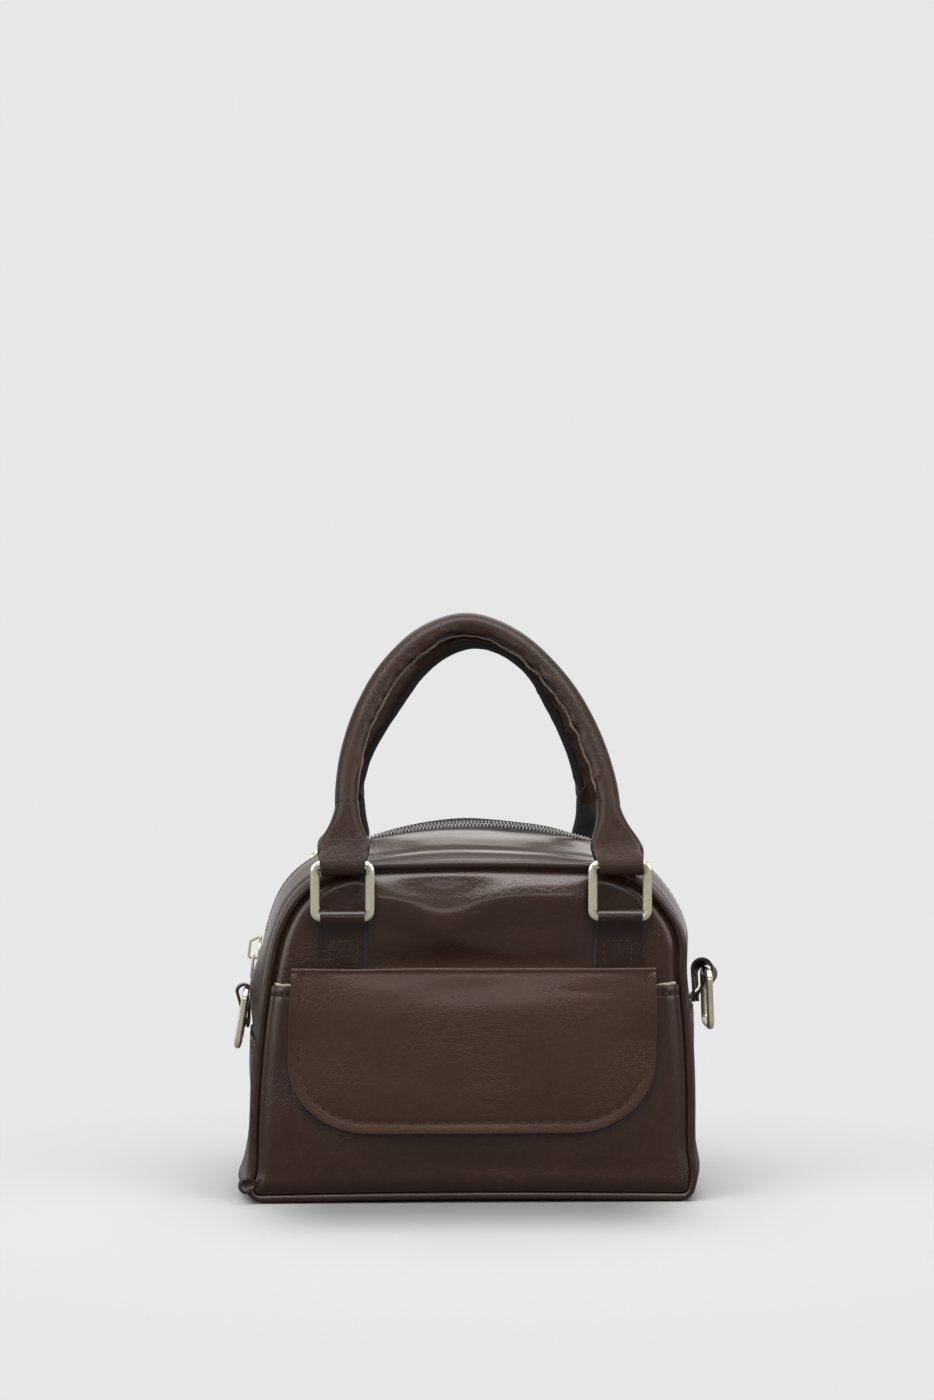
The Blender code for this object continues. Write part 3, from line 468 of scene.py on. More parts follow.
def skin(front, back, closed=False, bulge=0.25, rim_steps=2, left_out=()):
    """The shell between two grids of points, with rounded rims. Its marks are 0 on the front, 1 on
    the rims and 2 on the back. closed joins the last column to the first, and left_out names cells
    that are open."""
    columns = len(front[0])
    size = len(front) * columns
    points = [p for grid in (front, back) for row in grid for p in row]
    faces = []
    marks = []
    edges = {}
    for r in range(len(front) - 1):
        for c in range(columns if closed else columns - 1):
            if (r, c) in left_out:
                continue
            after = (c + 1) % columns
            corner = [r * columns + c, r * columns + after, (r + 1) * columns + after, (r + 1) * columns + c]
            faces += [corner, [i + size for i in reversed(corner)]]
            marks += [0, 2]
            for k, a in enumerate(corner):
                b = corner[(k + 1) % 4]
                if (b, a) in edges:
                    del edges[(b, a)]
                else:
                    edges[(a, b)] = corner[k - 1]
    rims = {}

    def rim(i, inner):
        if i not in rims:
            outward = points[i] - points[inner]
            outward = outward.normalized() if outward.length > 1e-6 else Vector()
            rims[i] = [i]
            for k in range(1, rim_steps + 1):
                share = k / (rim_steps + 1)
                rims[i].append(len(points))
                points.append(points[i].lerp(points[i + size], share) + outward * bulge * math.sin(math.pi * share))
            rims[i].append(i + size)
        return rims[i]

    neighbour = {}
    for (a, b), inner in edges.items():
        neighbour.setdefault(a, inner)
    for (a, b), inner in edges.items():
        first = rim(a, neighbour[a])
        second = rim(b, neighbour.get(b, inner))
        faces += [[second[k], first[k], first[k + 1], second[k + 1]] for k in range(rim_steps + 1)]
    return trimmed(points, faces, marks + [1] * (len(faces) - len(marks)))


def tube_faces(rings, sides, base=0, closed=False):
    """Faces round this many rings of points, numbered from base, and over the two ends."""
    faces = []
    for r in range(rings if closed else rings - 1):
        low = base + r * sides
        high = base + (r + 1) % rings * sides
        faces += [[low + i, low + (i + 1) % sides, high + (i + 1) % sides, high + i] for i in range(sides)]
    if not closed:
        faces += [[end + i for i in range(sides)] for end in (base, base + (rings - 1) * sides)]
    return faces


def tube(rings, closed=False):
    return [p for ring in rings for p in ring], tube_faces(len(rings), len(rings[0]), closed=closed), None


def stitches(name, line, slot, body="bag", pitch=3.0, fill=0.56, radius=0.25, hole=0.66, soft=False):
    """A row of stitches along a line of (point, normal) pairs, with a near-black disc between each two: painted
    shade for a needle hole.
    """
    lengths = reaches([point for point, _ in line])
    count = max(1, int(lengths[-1] / pitch))
    margin = (lengths[-1] - count * pitch) / 2
    points = []
    faces = []

    def at(distance):
        distance = min(max(distance, 0.0), lengths[-1])
        k = min(bisect_right(lengths, distance) - 1, len(lengths) - 2)
        span = lengths[k + 1] - lengths[k]
        share = (distance - lengths[k]) / span if span > 1e-9 else 0.0
        return [a.lerp(b, share) for a, b in zip(line[k], line[k + 1])]

    def axes(distance):
        spot, normal = at(distance)
        normal.normalize()
        along = (at(distance + 0.2)[0] - at(distance - 0.2)[0]).normalized()
        return spot, normal, along, along.cross(normal).normalized()

    for i in range(count):
        start = margin + i * pitch + pitch * (1 - fill) / 2
        shares = (0.0, 0.12, 0.35, 0.65, 0.88, 1.0)
        faces += tube_faces(len(shares), 6, len(points))
        for share in shares:
            spot, normal, _, side = axes(start + pitch * fill * share)
            thick = radius * (0.45 + 0.55 * math.sin(math.pi * share**0.9))
            centre = spot + normal * (0.10 * math.sin(math.pi * share) - 0.10)
            points += [centre + side * (thick * c) + normal * (thick * s) for c, s in around(6)]
    marks = [0] * len(faces)
    for i in range(count + 1):
        spot, normal, along, side = axes(margin + i * pitch)
        faces += tube_faces(2, 8, len(points))
        for height, reach in ((-0.25, 0.8), (0.04, 1.0)):
            points += [spot + along * (hole * reach * c) + side * (0.64 * hole * reach * s) + normal * height
                       for c, s in around(8)]
    marks += [1] * (len(faces) - len(marks))
    piece(name, (points, faces, marks), [THREAD, NEEDLE_HOLE_SHADE], body=body, slot=slot, soft=soft)


def from_crown(point):
    """A rough outward direction on the gusset."""
    return Vector((point.x, 0, point.z - 80))


def surface_line(function, spots, step=0.05, outward=lambda point: Vector((0, -1, 0))):
    """Points and outward normals of function(u, v) at these spots."""
    found = []
    for u, v in spots:
        point = function(u, v)
        across = function(u + step, v) - function(u - step, v)
        along = function(u, v + step) - function(u, v - step)
        normal = across.cross(along).normalized()
        if normal.dot(outward(point)) < 0:
            normal.negate()
        found.append((point, normal))
    return found


# ---------------------------------------------------------------- front and back panels


def panel_height(x, z, side):
    """How far the panel's face stands in front of the panel's plane, away from its edges."""
    height = 0.10 + 0.35 * wave(x, 0, z, 55, 3.1 * side)
    if side < 0:
        between = 1 - smooth(abs(x), 46, 62)
        ridge = 134 + 15 * smooth(abs(x + 15), 1, 44) ** 0.85
        fall = 11 + 5 * smooth(ridge, 134, 149)
        roll = bump(z, ridge, 12 if z > ridge else fall)
        height += between * (
            4.5 * roll
            - 2.0 * bump(z, 112, 8)
            + 0.5 * bump(z + 0.30 * x, 122, 4) * bump(x, -12, 26)
        )
        height += 0.15 * bump(z + 0.12 * x, 119, 1.8) * bump(x, -30, 22)
        height += 1.2 * smooth(abs(x), 76, 84) * bump(z, 118, 16)
    else:
        height += 0.8 * bump(x, 10, 60) * bump(z, 78, 45)
        height -= 0.7 * bump(x + 0.35 * (z - 60), -38, 8) * bump(z, 66, 34)
        height += 0.4 * bump(x - 0.2 * (z - 60), 34, 12) * bump(z, 50, 30)
    straps = bump(abs(x), RING_X, 13)
    return mix(height, 0.05, straps * smooth(z, 86 if side > 0 else 100, 104))


def panel_point(x, z, d, side, depth=0.0):
    """A point of the panel. d is its distance from the panel's edge."""
    height = panel_height(x, z, side) * smooth(d, 1, 14)
    height -= 1.9 * bump(d, 0, 2.1) - 0.55 * bump(d, 6.0, 3.2)
    return bow((x, side * (PANEL_FACE + height - depth), z))


def panel_rows(side, depth):
    """Rings of points that follow the panel's outline and close in on its middle."""
    numbers = PANEL_OUTLINE.numbers(-6.0, 6.0, 2.0)[:-1]
    rows = []
    for d in (0, 0.5, 1.0, 1.6, 2.3, 3.2, 4.2, 5.4, 7.0, 9.0, 11.5):
        outline = PANEL_OUTLINE.inset(d)
        last = [outline.place(t)[0] for t in numbers]
        rows.append([panel_point(*p, d, side, depth) for p in last])
    middle = Vector((0.0, 76.0))
    steps = 34
    for i in range(1, steps):
        spots = [middle.lerp(p, 1 - i / steps) for p in last]
        rows.append([panel_point(*spot, d + (p - spot).length, side, depth) for p, spot in zip(last, spots)])
    return rows


def build_panels():
    for end, side, lining in (("front", -1, "lining_front"), ("back", 1, "lining_back")):
        front = panel_rows(side, 0.0)
        back = panel_rows(side, LEATHER)
        points, faces, marks = skin(front, back, closed=True, bulge=0.0, rim_steps=1)
        count = len(front[0])
        size = len(front) * count
        ring = range(size - count, size)
        inner = {*ring, *(i + size for i in ring)}
        kept = [(f, m) for f, m in zip(faces, marks) if m != 1 or inner.isdisjoint(f)]
        for i in ring:
            j = i + 1 if i + 1 < size else size - count
            kept += [([i, j, len(points)], 0), ([j + size, i + size, len(points) + 1], 2)]
        points += [grid[-1][0].lerp(grid[-1][count // 2], 0.5) for grid in (front, back)]
        piece(f"{end}_panel_skin", trimmed(points, *zip(*kept)), LINED_LEATHER, f"{end}_panel", soft=True)
        rows, rear = (panel_rows(side, depth) for depth in (1.5, 1.5 + LINING))
        shell = skin(rows, rear, closed=True, bulge=0.0, rim_steps=0)
        made = piece(f"{lining}_cloth", shell, [BODY_LINING], lining, soft=True)
        2 * PANEL_OUTLINE.half_width_at(30) * MM


def build_piping():
    path = EDGE.inset(PIPING_RADIUS, lift=0.3)
    for end, side in ENDS:
        rings = []
        for t in path.numbers(-6.0, 6.0, 1.6)[:-1]:
            centre, normal = path.place(t)
            radius = PIPING_RADIUS * (0.97 + 0.05 * wave(centre.x, side * 9, centre.y, 7, 1.7))
            shift = 0.28 * wave(centre.x, side * 3, centre.y, 24, 5.0) * (0.4 if centre.y > 5 else 0.0)
            ring = []
            for c, s in around(16):
                a = radius * c + shift
                ring.append(bow((centre.x + normal.x * a, side * PIPING_Y + radius * s, centre.y + normal.y * a)))
            rings.append(ring)
        piece(f"{end}_piping_cord", tube(rings, closed=True), [PIPING_LEATHER], f"{end}_piping", sharp=80, soft=True)


# ---------------------------------------------------------------- gusset and zip


def gusset_place(t, share, depth):
    """A point of the gusset's sheet at outline number t. share runs from -1, front, to 1, rear."""
    edge, edge_normal = EDGE.place(t)
    crown, crown_normal = CROWN.place(t)
    swell = 1 - share**2
    normal = edge_normal.lerp(crown_normal, swell).normalized()
    flat = edge.lerp(crown, swell)
    across = share * GUSSET_EDGE_Y
    d = (1 - abs(share)) * GUSSET_EDGE_Y
    dip = 1 - (smooth(across, 0, 5) if across > 0 else smooth(-across, SLOT, 17))
    relief = -1.2 * bump(d, 0, 1.4) - ZIP_DIP * dip * smooth(flat.y, *ZIP_CREST)
    relief += smooth(flat.y, 3, 16) * (
        0.5 * bump(d, 4.2, 1.7)
        - 0.55 * bump(d, 8.0, 1.2)
        + smooth(d, 3, 12) * 0.55 * wave(flat.x, across, flat.y, 34, 2.0)
        + smooth(d, 3, 12) * 0.22 * wave(flat.x * 0.4, across * 1.6, flat.y * 0.4, 9, 7.0)
    )
    if flat.x < 0:
        relief += swell * (1.8 * bump(flat.y, 9, 9) - 2.2 * bump(flat.y, 42, 17)) * smooth(flat.y, 0, 6)
        relief += 4.6 * bump(abs(across), 20, 7) * bump(flat.y, 100, 15)
    else:
        relief += swell * 1.4 * bump(flat.y, 16, 10) * smooth(flat.y, 0, 6)
    flat = flat + normal * (relief - depth)
    return Vector((flat.x, across, max(flat.y, depth)))


def gusset_point(t, share, depth=0.0):
    point = gusset_place(t, share, depth)
    return bow(point) if point.z >= 1.5 * depth + 0.4 else point


def gusset_grids(numbers, shares, depth, thickness):
    return [[[gusset_point(t, share, d) for share in shares] for t in numbers] for d in (depth, depth + thickness)]


def gusset_line(spots, depth=0.0):
    """Points and outward normals at (outline number, share) spots of the gusset."""
    return surface_line(lambda t, share: gusset_point(t, share, depth), spots, 0.004, from_crown)


def rows_across(first, last):
    """Shares across the gusset between two distances from its middle line, closer near its edge."""
    found = spread(first, min(last, 27.0), 1.8)
    if last > 27.0:
        found += spread(27.0, last, 0.8)[1:]
    return [d / GUSSET_EDGE_Y for d in found]


def zip_numbers(step):
    """Outline numbers along the zip, from the base gusset's right seam to its left one."""
    return CROWN.numbers(CROWN.number_at(SEAM_RIGHT) + 0.02, 12 - CROWN.number_at(SEAM_LEFT) - 0.02, step)


def build_gusset():
    shares = mirrored(rows_across(0, GUSSET_EDGE_Y))
    numbers = CROWN.numbers(-CROWN.number_at(SEAM_LEFT), CROWN.number_at(SEAM_RIGHT), 2.4)
    piece("base_gusset_skin", skin(*gusset_grids(numbers, shares, 0.0, LEATHER), bulge=0.3), LINED_LEATHER,
          "base_gusset", soft=True)
    for name, seam, sign in (("left", SEAM_LEFT, -1), ("right", SEAM_RIGHT, 1)):
        below = sign * CROWN.number_at(seam - STITCH_INSET)
        stitches(f"base_gusset_stitches_{name}", gusset_line([(below, s) for s in shares if abs(s) < 0.93]),
                 "base_gusset", pitch=3.2, soft=True)

    lap_left, lap_right = (CROWN.number_at(seam - SEAM_LAP) for seam in (SEAM_LEFT, SEAM_RIGHT))
    arch = CROWN.numbers(lap_right, 12 - lap_left, 2.2)
    for end, side in ENDS:
        band = [side * s for s in rows_across(SLOT, GUSSET_EDGE_Y + 0.9)]
        piece(f"zip_band_{end}_skin", skin(*gusset_grids(arch, band, BAND_DEPTH, LEATHER), bulge=0.35, rim_steps=3),
              FOLDED_LEATHER, f"zip_band_{end}", soft=True)
        seam = side * (SLOT + 1.7) / GUSSET_EDGE_Y
        stitches(f"zip_band_{end}_stitches", gusset_line([(t, seam) for t in zip_numbers(2.0)], BAND_DEPTH),
                 f"zip_band_{end}", pitch=2.9, soft=True)
        build_tape(end, side, arch)
        build_teeth(end, side)

    loop = CROWN.numbers(-6.0, 6.0, 5.0)
    half = [0.1, 0.15] + [s / 10 for s in range(2, 11)]
    wide = [-s for s in reversed(half)] + half
    grids = gusset_grids(loop[:-1], wide, LINING_DEPTH, LINING)
    front, back = ([list(line) for line in zip(*grid)] for grid in grids)
    mouth = {(len(half) - 1, c) for c, (low, high) in enumerate(zip(loop, loop[1:]))
             if high <= -lap_left or low >= lap_right}
    shell = skin(front, back, closed=True, bulge=0.0, rim_steps=0, left_out=mouth)
    cloth_sheet(piece("lining_gusset_cloth", shell, [BODY_LINING], "lining_gusset", soft=True), front, closed=True)


def build_curl():
    """The gusset's seam allowance curls forward at the lower left corner, its black edge to the left."""
    centre = Vector((-105.5, -45.8, 9.4))
    half = 3.1

    def curled(p, grow, aside):
        lip = 2.0 * (math.hypot(p.x, p.z) / half) ** 3 * (1 - 0.5 * smooth(p.x, 0, 2.5))
        root = max(0.0, p.x)
        return centre + Vector((p.x * grow - aside + 0.45 * root, p.y - lip + 1.3 * root, p.z * grow))

    path = [(0.0, half * math.cos(math.radians(180 * i / 16))) for i in range(17)]
    front, back = strap(path, lambda t: max(0.4, 2.9 * math.sin(math.pi * t)), thickness=1.0)
    front = [[curled(p, 0.95, 0.0) for p in row] for row in front]
    back = [[curled(p, 1.22, 0.3) for p in row] for row in back]
    piece("base_gusset_curl", skin(front, back, bulge=0.12), [BODY_LEATHER, EDGE_PAINT, BLACK_LINING],
          slot="base_gusset")


def slider_room(x, z):
    """How much deeper the zip lies at the left shoulder, where the slider's arc passes over it."""
    return 1.3 * smooth(z, 140, 161) * smooth(-x, 46, 62)


def build_tape(end, side, numbers):
    """A tape from the coil to under its band. At the crown the rear one stands higher at the coil."""
    tops = (-0.1, 0.7, 1.3, 3.0, 3.4, 3.4) if side < 0 else (-0.2, -0.2, -0.9, 2.9, 3.4, 3.4)

    def points(t, column):
        d, top, share = column
        spot = CROWN.place(t)[0]
        depth = mix(3.0, top, smooth(spot.y, *ZIP_CREST)) + share * slider_room(*spot)
        return [gusset_point(t, side * (d / GUSSET_EDGE_Y), depth + thickness) for thickness in (0.0, LINING)]

    columns = list(zip((0.15, 2.0, 4.0, 6.0, 9.0, 12.5), tops, (1, 1, 1, 0.6, 0.2, 0)))
    grids = paired(numbers, columns, points)
    shell = skin(*grids, bulge=0.0, rim_steps=0)
    cloth_sheet(piece(f"zipper_tape_{end}_cloth", shell, [ZIP_TAPE], f"zipper_tape_{end}"), grids[0])


def build_teeth(end, side):
    """Coil turns: small rounded bars that reach across from the tape to the middle of the zip."""
    points = []
    faces = []
    sections = ((-1.25, 0.30), (-1.05, 0.72), (-0.3, 1.0), (0.6, 1.0), (1.05, 0.8), (1.25, 0.35))
    spots = [Vector((p.x, 0.0, p.y)) for p in (CROWN.place(t)[0] for t in zip_numbers(0.25))]
    travelled = COIL_PITCH * (0.25 if side > 0 else 0.75)
    for last, spot in zip(spots, spots[1:]):
        travelled += (spot - last).length
        if travelled < COIL_PITCH:
            continue
        travelled -= COIL_PITCH
        along = (spot - last).normalized()
        up = Vector((0, 1, 0)).cross(along).normalized()
        if up.dot(from_crown(spot)) < 0:
            up.negate()
        crest = smooth(spot.z, *ZIP_CREST)
        tilt = ZIP_TILT * crest
        depth = mix(2.1, 1.75, crest) + slider_room(spot.x, spot.z)
        centre = settle(spot + up * (tilt * side * COIL_Y - depth) + Vector((0, side * COIL_Y, 0)))
        faces += tube_faces(len(sections), 8, len(points))
        for reach, thick in sections:
            points += [centre + Vector((0, side * reach, 0)) + along * (0.40 * thick * c + 0.30 * reach)
                       + up * (tilt * side * reach + 0.75 * thick * s) for c, s in around(8)]
    piece(f"zipper_coil_{end}_teeth", (points, faces, None), [ZIP_TEETH], f"zipper_coil_{end}", sharp=60)


# ---------------------------------------------------------------- pocket and flap


def pocket_point(x, z, out=POCKET_FACE):
    """A point of the pocket, out mm in front of the panel where the pocket lies flat on it."""
    floor = PANEL_OUTLINE.floor_z
    half = PANEL_OUTLINE.half_width_at(z)
    share = max(-1.0, min(1.0, x / half))
    d = min(half * (1 - abs(share)), z - floor)
    rise = (1 - abs(share) ** 6) * math.sin(math.pi / 2 * min(1.0, max(0.0, (z - floor) / 40)))
    height = out + POCKET_ROOM * rise * (0.97 - 0.03 * math.cos(x / 16))
    height -= 2.0 * bump(d, 0, 2.4) - 0.35 * bump(d, 6.5, 3.0)
    height += smooth(d, 3, 12) * (
        0.30 * wave(x, 0, z, 30, 4.4)
        + 0.8 * bump(x, -86, 8) * bump(z, 46, 16)
        - 0.8 * bump(x + 0.25 * (z - 40), -72, 5) * bump(z, 44, 18)
        + 0.7 * bump(x - 0.3 * (z - 60), 84, 6) * bump(z, 66, 18)
        - 0.6 * bump(x, 78, 5) * bump(z, 50, 14)
        - 0.5 * bump(z + 0.05 * x, 19, 4.5) * bump(x, 20, 60)
    )
    height += 0.22 * bump(z, POCKET_TOP - 2.0, 1.6) - 0.22 * bump(z, POCKET_TOP - 4.6, 0.8)
    return bow((x, -(PANEL_FACE + height), z))


def shares_out(step, end, edge_step):
    """Shares from -1 to 1: steps up to about end, then closer ones from EDGE_SHARE to 1."""
    shares = [0.0]
    while shares[-1] < end:
        shares.append(shares[-1] + step)
    return mirrored([s for s in shares if s < EDGE_SHARE] + spread(EDGE_SHARE, 1.0, edge_step))


def pocket_grid(out):
    low = PANEL_OUTLINE.floor_z
    heights = [low, low + 0.4, low + 0.9, low + 1.5, low + 2.3] + spread(low + 3.5, 92.0, 1.9)
    heights += spread(92.8, POCKET_TOP, 0.55)
    shares = shares_out(0.02, 0.9, 0.008)
    return [[pocket_point(s * PANEL_OUTLINE.half_width_at(z), z, out) for s in shares] for z in heights]


def backing_grid(out):
    """The backing's band under the pocket's mouth, with a frayed upper edge."""
    rows = []
    for z in spread(POCKET_TOP - 14, POCKET_TOP, 1.4) + [POCKET_TOP + 1.0]:
        inside = min(z, POCKET_TOP)
        row = []
        for s in [i / 60 for i in range(-60, 61)]:
            x = s * PANEL_OUTLINE.half_width_at(inside) * 0.985
            point = pocket_point(x, inside, out)
            if z > POCKET_TOP:
                fray = 0.6 + 0.9 * wave(x, 0, 0, 2.4, 1.0) + 0.7 * smooth(abs(s), 0.88, 0.97)
                point.z = POCKET_TOP + max(0.1, fray)
            row.append(point)
        rows.append(row)
    return rows


def build_pocket():
    shell = skin(pocket_grid(POCKET_FACE), pocket_grid(POCKET_FACE - LEATHER), bulge=0.45, rim_steps=3)
    piece("pocket_panel_skin", shell, [BODY_LEATHER, BODY_LEATHER, CREAM_CLOTH], "pocket_panel", soft=True)
    hem = POCKET_TOP - STITCH_INSET
    half = PANEL_OUTLINE.half_width_at(hem)
    line = surface_line(pocket_point, [(x, hem) for x in spread(2 - half, half - 2, 1.5)])
    stitches("pocket_hem_stitches", line, "pocket_panel", pitch=3.2, soft=True)
    rows = backing_grid(1.0)
    shell = skin(rows, backing_grid(0.45), bulge=0.1, rim_steps=1)
    cloth_sheet(piece("pocket_backing_cloth", shell, [CREAM_CLOTH], "pocket_lining", soft=True), rows)


def drop_at(share):
    """How far a round corner falls away, from 0 where it starts to 1 at its end."""
    return 1 - math.sqrt(max(0.0, 1 - min(1.0, share) ** 2))


def flap_half_width(z, inset=0.0):
    wide, tall = FLAP_CORNER
    low = FLAP_LOW + tall
    if z >= low:
        return FLAP_HALF - 0.8 * smooth(z, 84, FLAP_TOP) - inset
    return FLAP_HALF - inset - (wide - inset * 0.35) * drop_at((low - z) / max(1.0, tall - inset))


def flap_rim_distance(x, z):
    """About how far a point of the flap is from its free edge."""
    wide, tall = FLAP_CORNER
    dx = max(0.0, flap_half_width(max(z, FLAP_LOW)) - abs(x))
    corner = max(0.0, (abs(x) - (FLAP_HALF - wide)) / wide)
    dz = max(0.0, z - FLAP_LOW - tall * drop_at(corner))
    return dx * dz / max(1e-6, math.hypot(dx, dz))


def flap_point(x, z, depth=0.0):
    """A point of the flap below its fold."""
    below = FLAP_TOP - FLAP_ROLL - z
    d = flap_rim_distance(x, z)
    height = smooth(below, 0, 9) * (
        0.45 * wave(x, 0, z, 46, 8.0)
        - 0.55 * bump(x, -7, 8) * bump(z, 54, 7)
        + 0.35 * bump(x, 22, 20) * bump(z, 55, 14)
        + 0.30 * bump(z - 0.03 * x, 92, 6) * bump(x, 0, 70)
        - 0.16 * bump(z + 0.10 * (x - 40), 101, 1.4) * bump(x, 52, 20)
        + 0.10 * wave(x * 0.5, 0, z * 1.6, 7, 3.0) * bump(x, 55, 26) * bump(z, 96, 16)
    )
    height -= 2.2 * min(1.0, below / 30) * (x / FLAP_HALF) ** 2
    height -= 0.38 * bump(d, 4.7, 1.1)
    height += 0.55 * (1 - smooth(d, 0.4, 4.2))
    height += 1.1 * bump(z, 82, 20) * smooth(d, 4, 30)
    height -= 2.2 * (1 - smooth(d, 0, 20)) * smooth(FLAP_TOP - z, 14, 50)
    height -= FLAP_EASE * max(0.0, (z - 84) / (FLAP_TOP - FLAP_ROLL - 84)) ** 2
    z -= depth * (1 - smooth(d, 0, 4)) * (1 - smooth(z, 40, 72))
    return Vector((x + FLAP_SHIFT, -(FLAP_FACE + height - depth), z))


def flap_grid(depth):
    tall = FLAP_CORNER[1]
    heights = [FLAP_LOW + tall * (1 - math.cos(a)) for a in spread(0, math.pi / 2, math.pi / 52)]
    heights += spread(FLAP_LOW + tall + 1.5, FLAP_TOP - FLAP_ROLL, 1.5)
    shares = shares_out(0.018, 0.885, 0.0085)
    rows = [[flap_point(s * flap_half_width(z), z, depth) for s in shares] for z in heights]
    radius = FLAP_ROLL - depth
    steps = 14
    for i in range(1, steps + 1):
        angle = math.pi - math.radians(160) * i / steps
        reach = radius - FLAP_EASE * max(0.0, -math.cos(angle)) ** 1.5
        y = -(FLAP_FACE - FLAP_ROLL) + reach * math.cos(angle)
        z = FLAP_TOP - FLAP_ROLL + radius * math.sin(angle)
        rows.append([Vector((
            s * flap_half_width(z) + FLAP_SHIFT,
            y + 0.12 * math.sin(angle) * wave(s * 90, 0, 0, 30, 2),
            z + 0.25 * math.sin(angle) * wave(s * 90, 0, 0, 40, 9),
        )) for s in shares])
    return rows


def build_flap():
    rim_steps = 3
    points, faces, marks = skin(flap_grid(0.0), flap_grid(1.25), bulge=0.12, rim_steps=rim_steps)
    # The rim strip next to the front face takes the lighter cut edge, a painted highlight.
    for i in range(marks.index(1), len(marks), rim_steps + 1):
        marks[i] = 3
    piece("flap_panel_skin", (points, faces, marks), [FLAP_LEATHER, EDGE_PAINT, BLACK_LINING, CUT_EDGE_HIGHLIGHT],
          "flap_panel", "flap_lining", body="flap")
    inset = 4.7
    wide, tall = FLAP_CORNER
    right = [(flap_half_width(z, inset), z) for z in spread(FLAP_TOP - 4, FLAP_LOW + tall, 1.5)]
    right += [(FLAP_HALF - wide + (wide - inset) * math.cos(a), FLAP_LOW + tall - (tall - inset) * math.sin(a))
              for a in spread(0, math.pi / 2, math.pi / 60)[1:]]
    right += [(x, FLAP_LOW + inset) for x in spread(FLAP_HALF - wide - 1.5, 0.0, 1.5)]
    line = surface_line(flap_point, right + [(-x, z) for x, z in reversed(right[:-1])])
    stitches("flap_stitches", line, "flap_panel", "flap", pitch=5.4, fill=0.62, radius=0.24, hole=0.95)

    leaf = [[[Vector((x, y, z)) for x in spread(-84.6, 84.6, 4)] for z in (103.6, 105.4, 107.2, 109.0)]
            for y in (-46.8, -45.75)]
    piece("flap_seam_leaf", skin(*leaf, bulge=0.15), [BODY_LEATHER, EDGE_PAINT, BODY_LEATHER], "flap_seam_strip")

    for node, inner, outer, body in (("snap_socket", 49.25, 50.1, "bag"), ("snap_stud", 50.45, 51.25, "flap")):
        profile = ((0.1, inner), (5.6, inner), (6.6, inner + 0.15), (6.8, (inner + outer) / 2), (6.6, outer - 0.15),
                   (5.6, outer), (3.2, outer), (3.0, outer - 0.3), (0.1, outer - 0.3))
        rings = [[Vector((radius * c, -y, SNAP_Z + radius * s)) for c, s in around(32)] for radius, y in profile]
        piece(f"{node}_disc", tube(rings), [GOLD], node, body=body, sharp=50)


# ---------------------------------------------------------------- rings and straps


RING_SECTION = [(2.2, 0.0), (2.12, 0.75), (1.65, 1.30), (0.75, 1.62), (-0.35, 1.68), (-0.72, 1.42),
                (-0.95, 1.42), (-1.25, 1.52), (-1.85, 1.10), (-2.15, 0.55), (-2.2, 0.0)]


def build_ring(node, turn, level):
    """A rounded rectangular wire whose lower bar lies on the turned X axis. Its own lean is taken at
    the bag's lean for one level, as it is rigid."""
    section = RING_SECTION + [(a, -b) for a, b in reversed(RING_SECTION[1:-1])]
    corner = 3.0
    half = 25.6 / 2
    rings = []
    for x, z, start in ((half - corner, corner, -90), (half - corner, RING_SPACING - corner, 0),
                        (corner - half, RING_SPACING - corner, 90), (corner - half, corner, 180)):
        for i in range(9):
            angle = math.radians(start + 90 * i / 8)
            out = Vector((math.cos(angle), 0, math.sin(angle)))
            centre = Vector((x, 0, z)) + out * corner
            ring = [turn @ (centre + out * a + Vector((0, b, 0))) for a, b in section]
            rings.append([Vector((p.x + LEAN * (level - p.z), p.y, p.z)) for p in ring])
    piece(f"{node}_metal", tube(rings, closed=True), [GOLD], node, body=node, sharp=32)


def strap(path, half_width, x0=0.0, thickness=STRAP, columns=13):
    """Front and back grids of a strap that follows a path of (y, z) points, its right-hand side out."""
    path = [Vector(p) for p in path]
    ways = [(b - a).normalized() for a, b in zip(path, path[1:])]

    def points(i, s):
        along = (ways[max(i - 1, 0)] + ways[min(i, len(ways) - 1)]).normalized()
        width = half_width(i / len(ways)) if callable(half_width) else half_width
        spots = [path[i] + Vector((along.y, -along.x)) * offset
                 for offset in (thickness / 2 - 0.18 * abs(s) ** 10, -thickness / 2)]
        return [Vector((x0 + s * width, *spot)) for spot in spots]

    return paired(range(len(path)), spread(-1, 1, 2 / (columns - 1)), points)


def loop_path(side, low):
    """The centre line of a strap that comes up behind a ring's bar, goes over it and down in front."""
    behind = -(RING_Y - TAB_LOOP)
    ahead = behind - STRAP - 0.25
    path = [(behind, z) for z in spread(low, RING_Z - 1.5, 2.2)]
    for i in range(17):
        angle = math.radians(-8 + 222 * i / 16)
        path.append((-RING_Y + TAB_LOOP * math.cos(angle), RING_Z + TAB_LOOP * math.sin(angle)))
    path += [(ahead - 2.0, RING_Z - 4.7), (ahead - 0.9, RING_Z - 6.9), (ahead - 0.25, RING_Z - 9.0)]
    path += [(ahead, z) for z in spread(RING_Z - 11.0, low, 2.0)]
    return [(-side * y, z) for y, z in path]


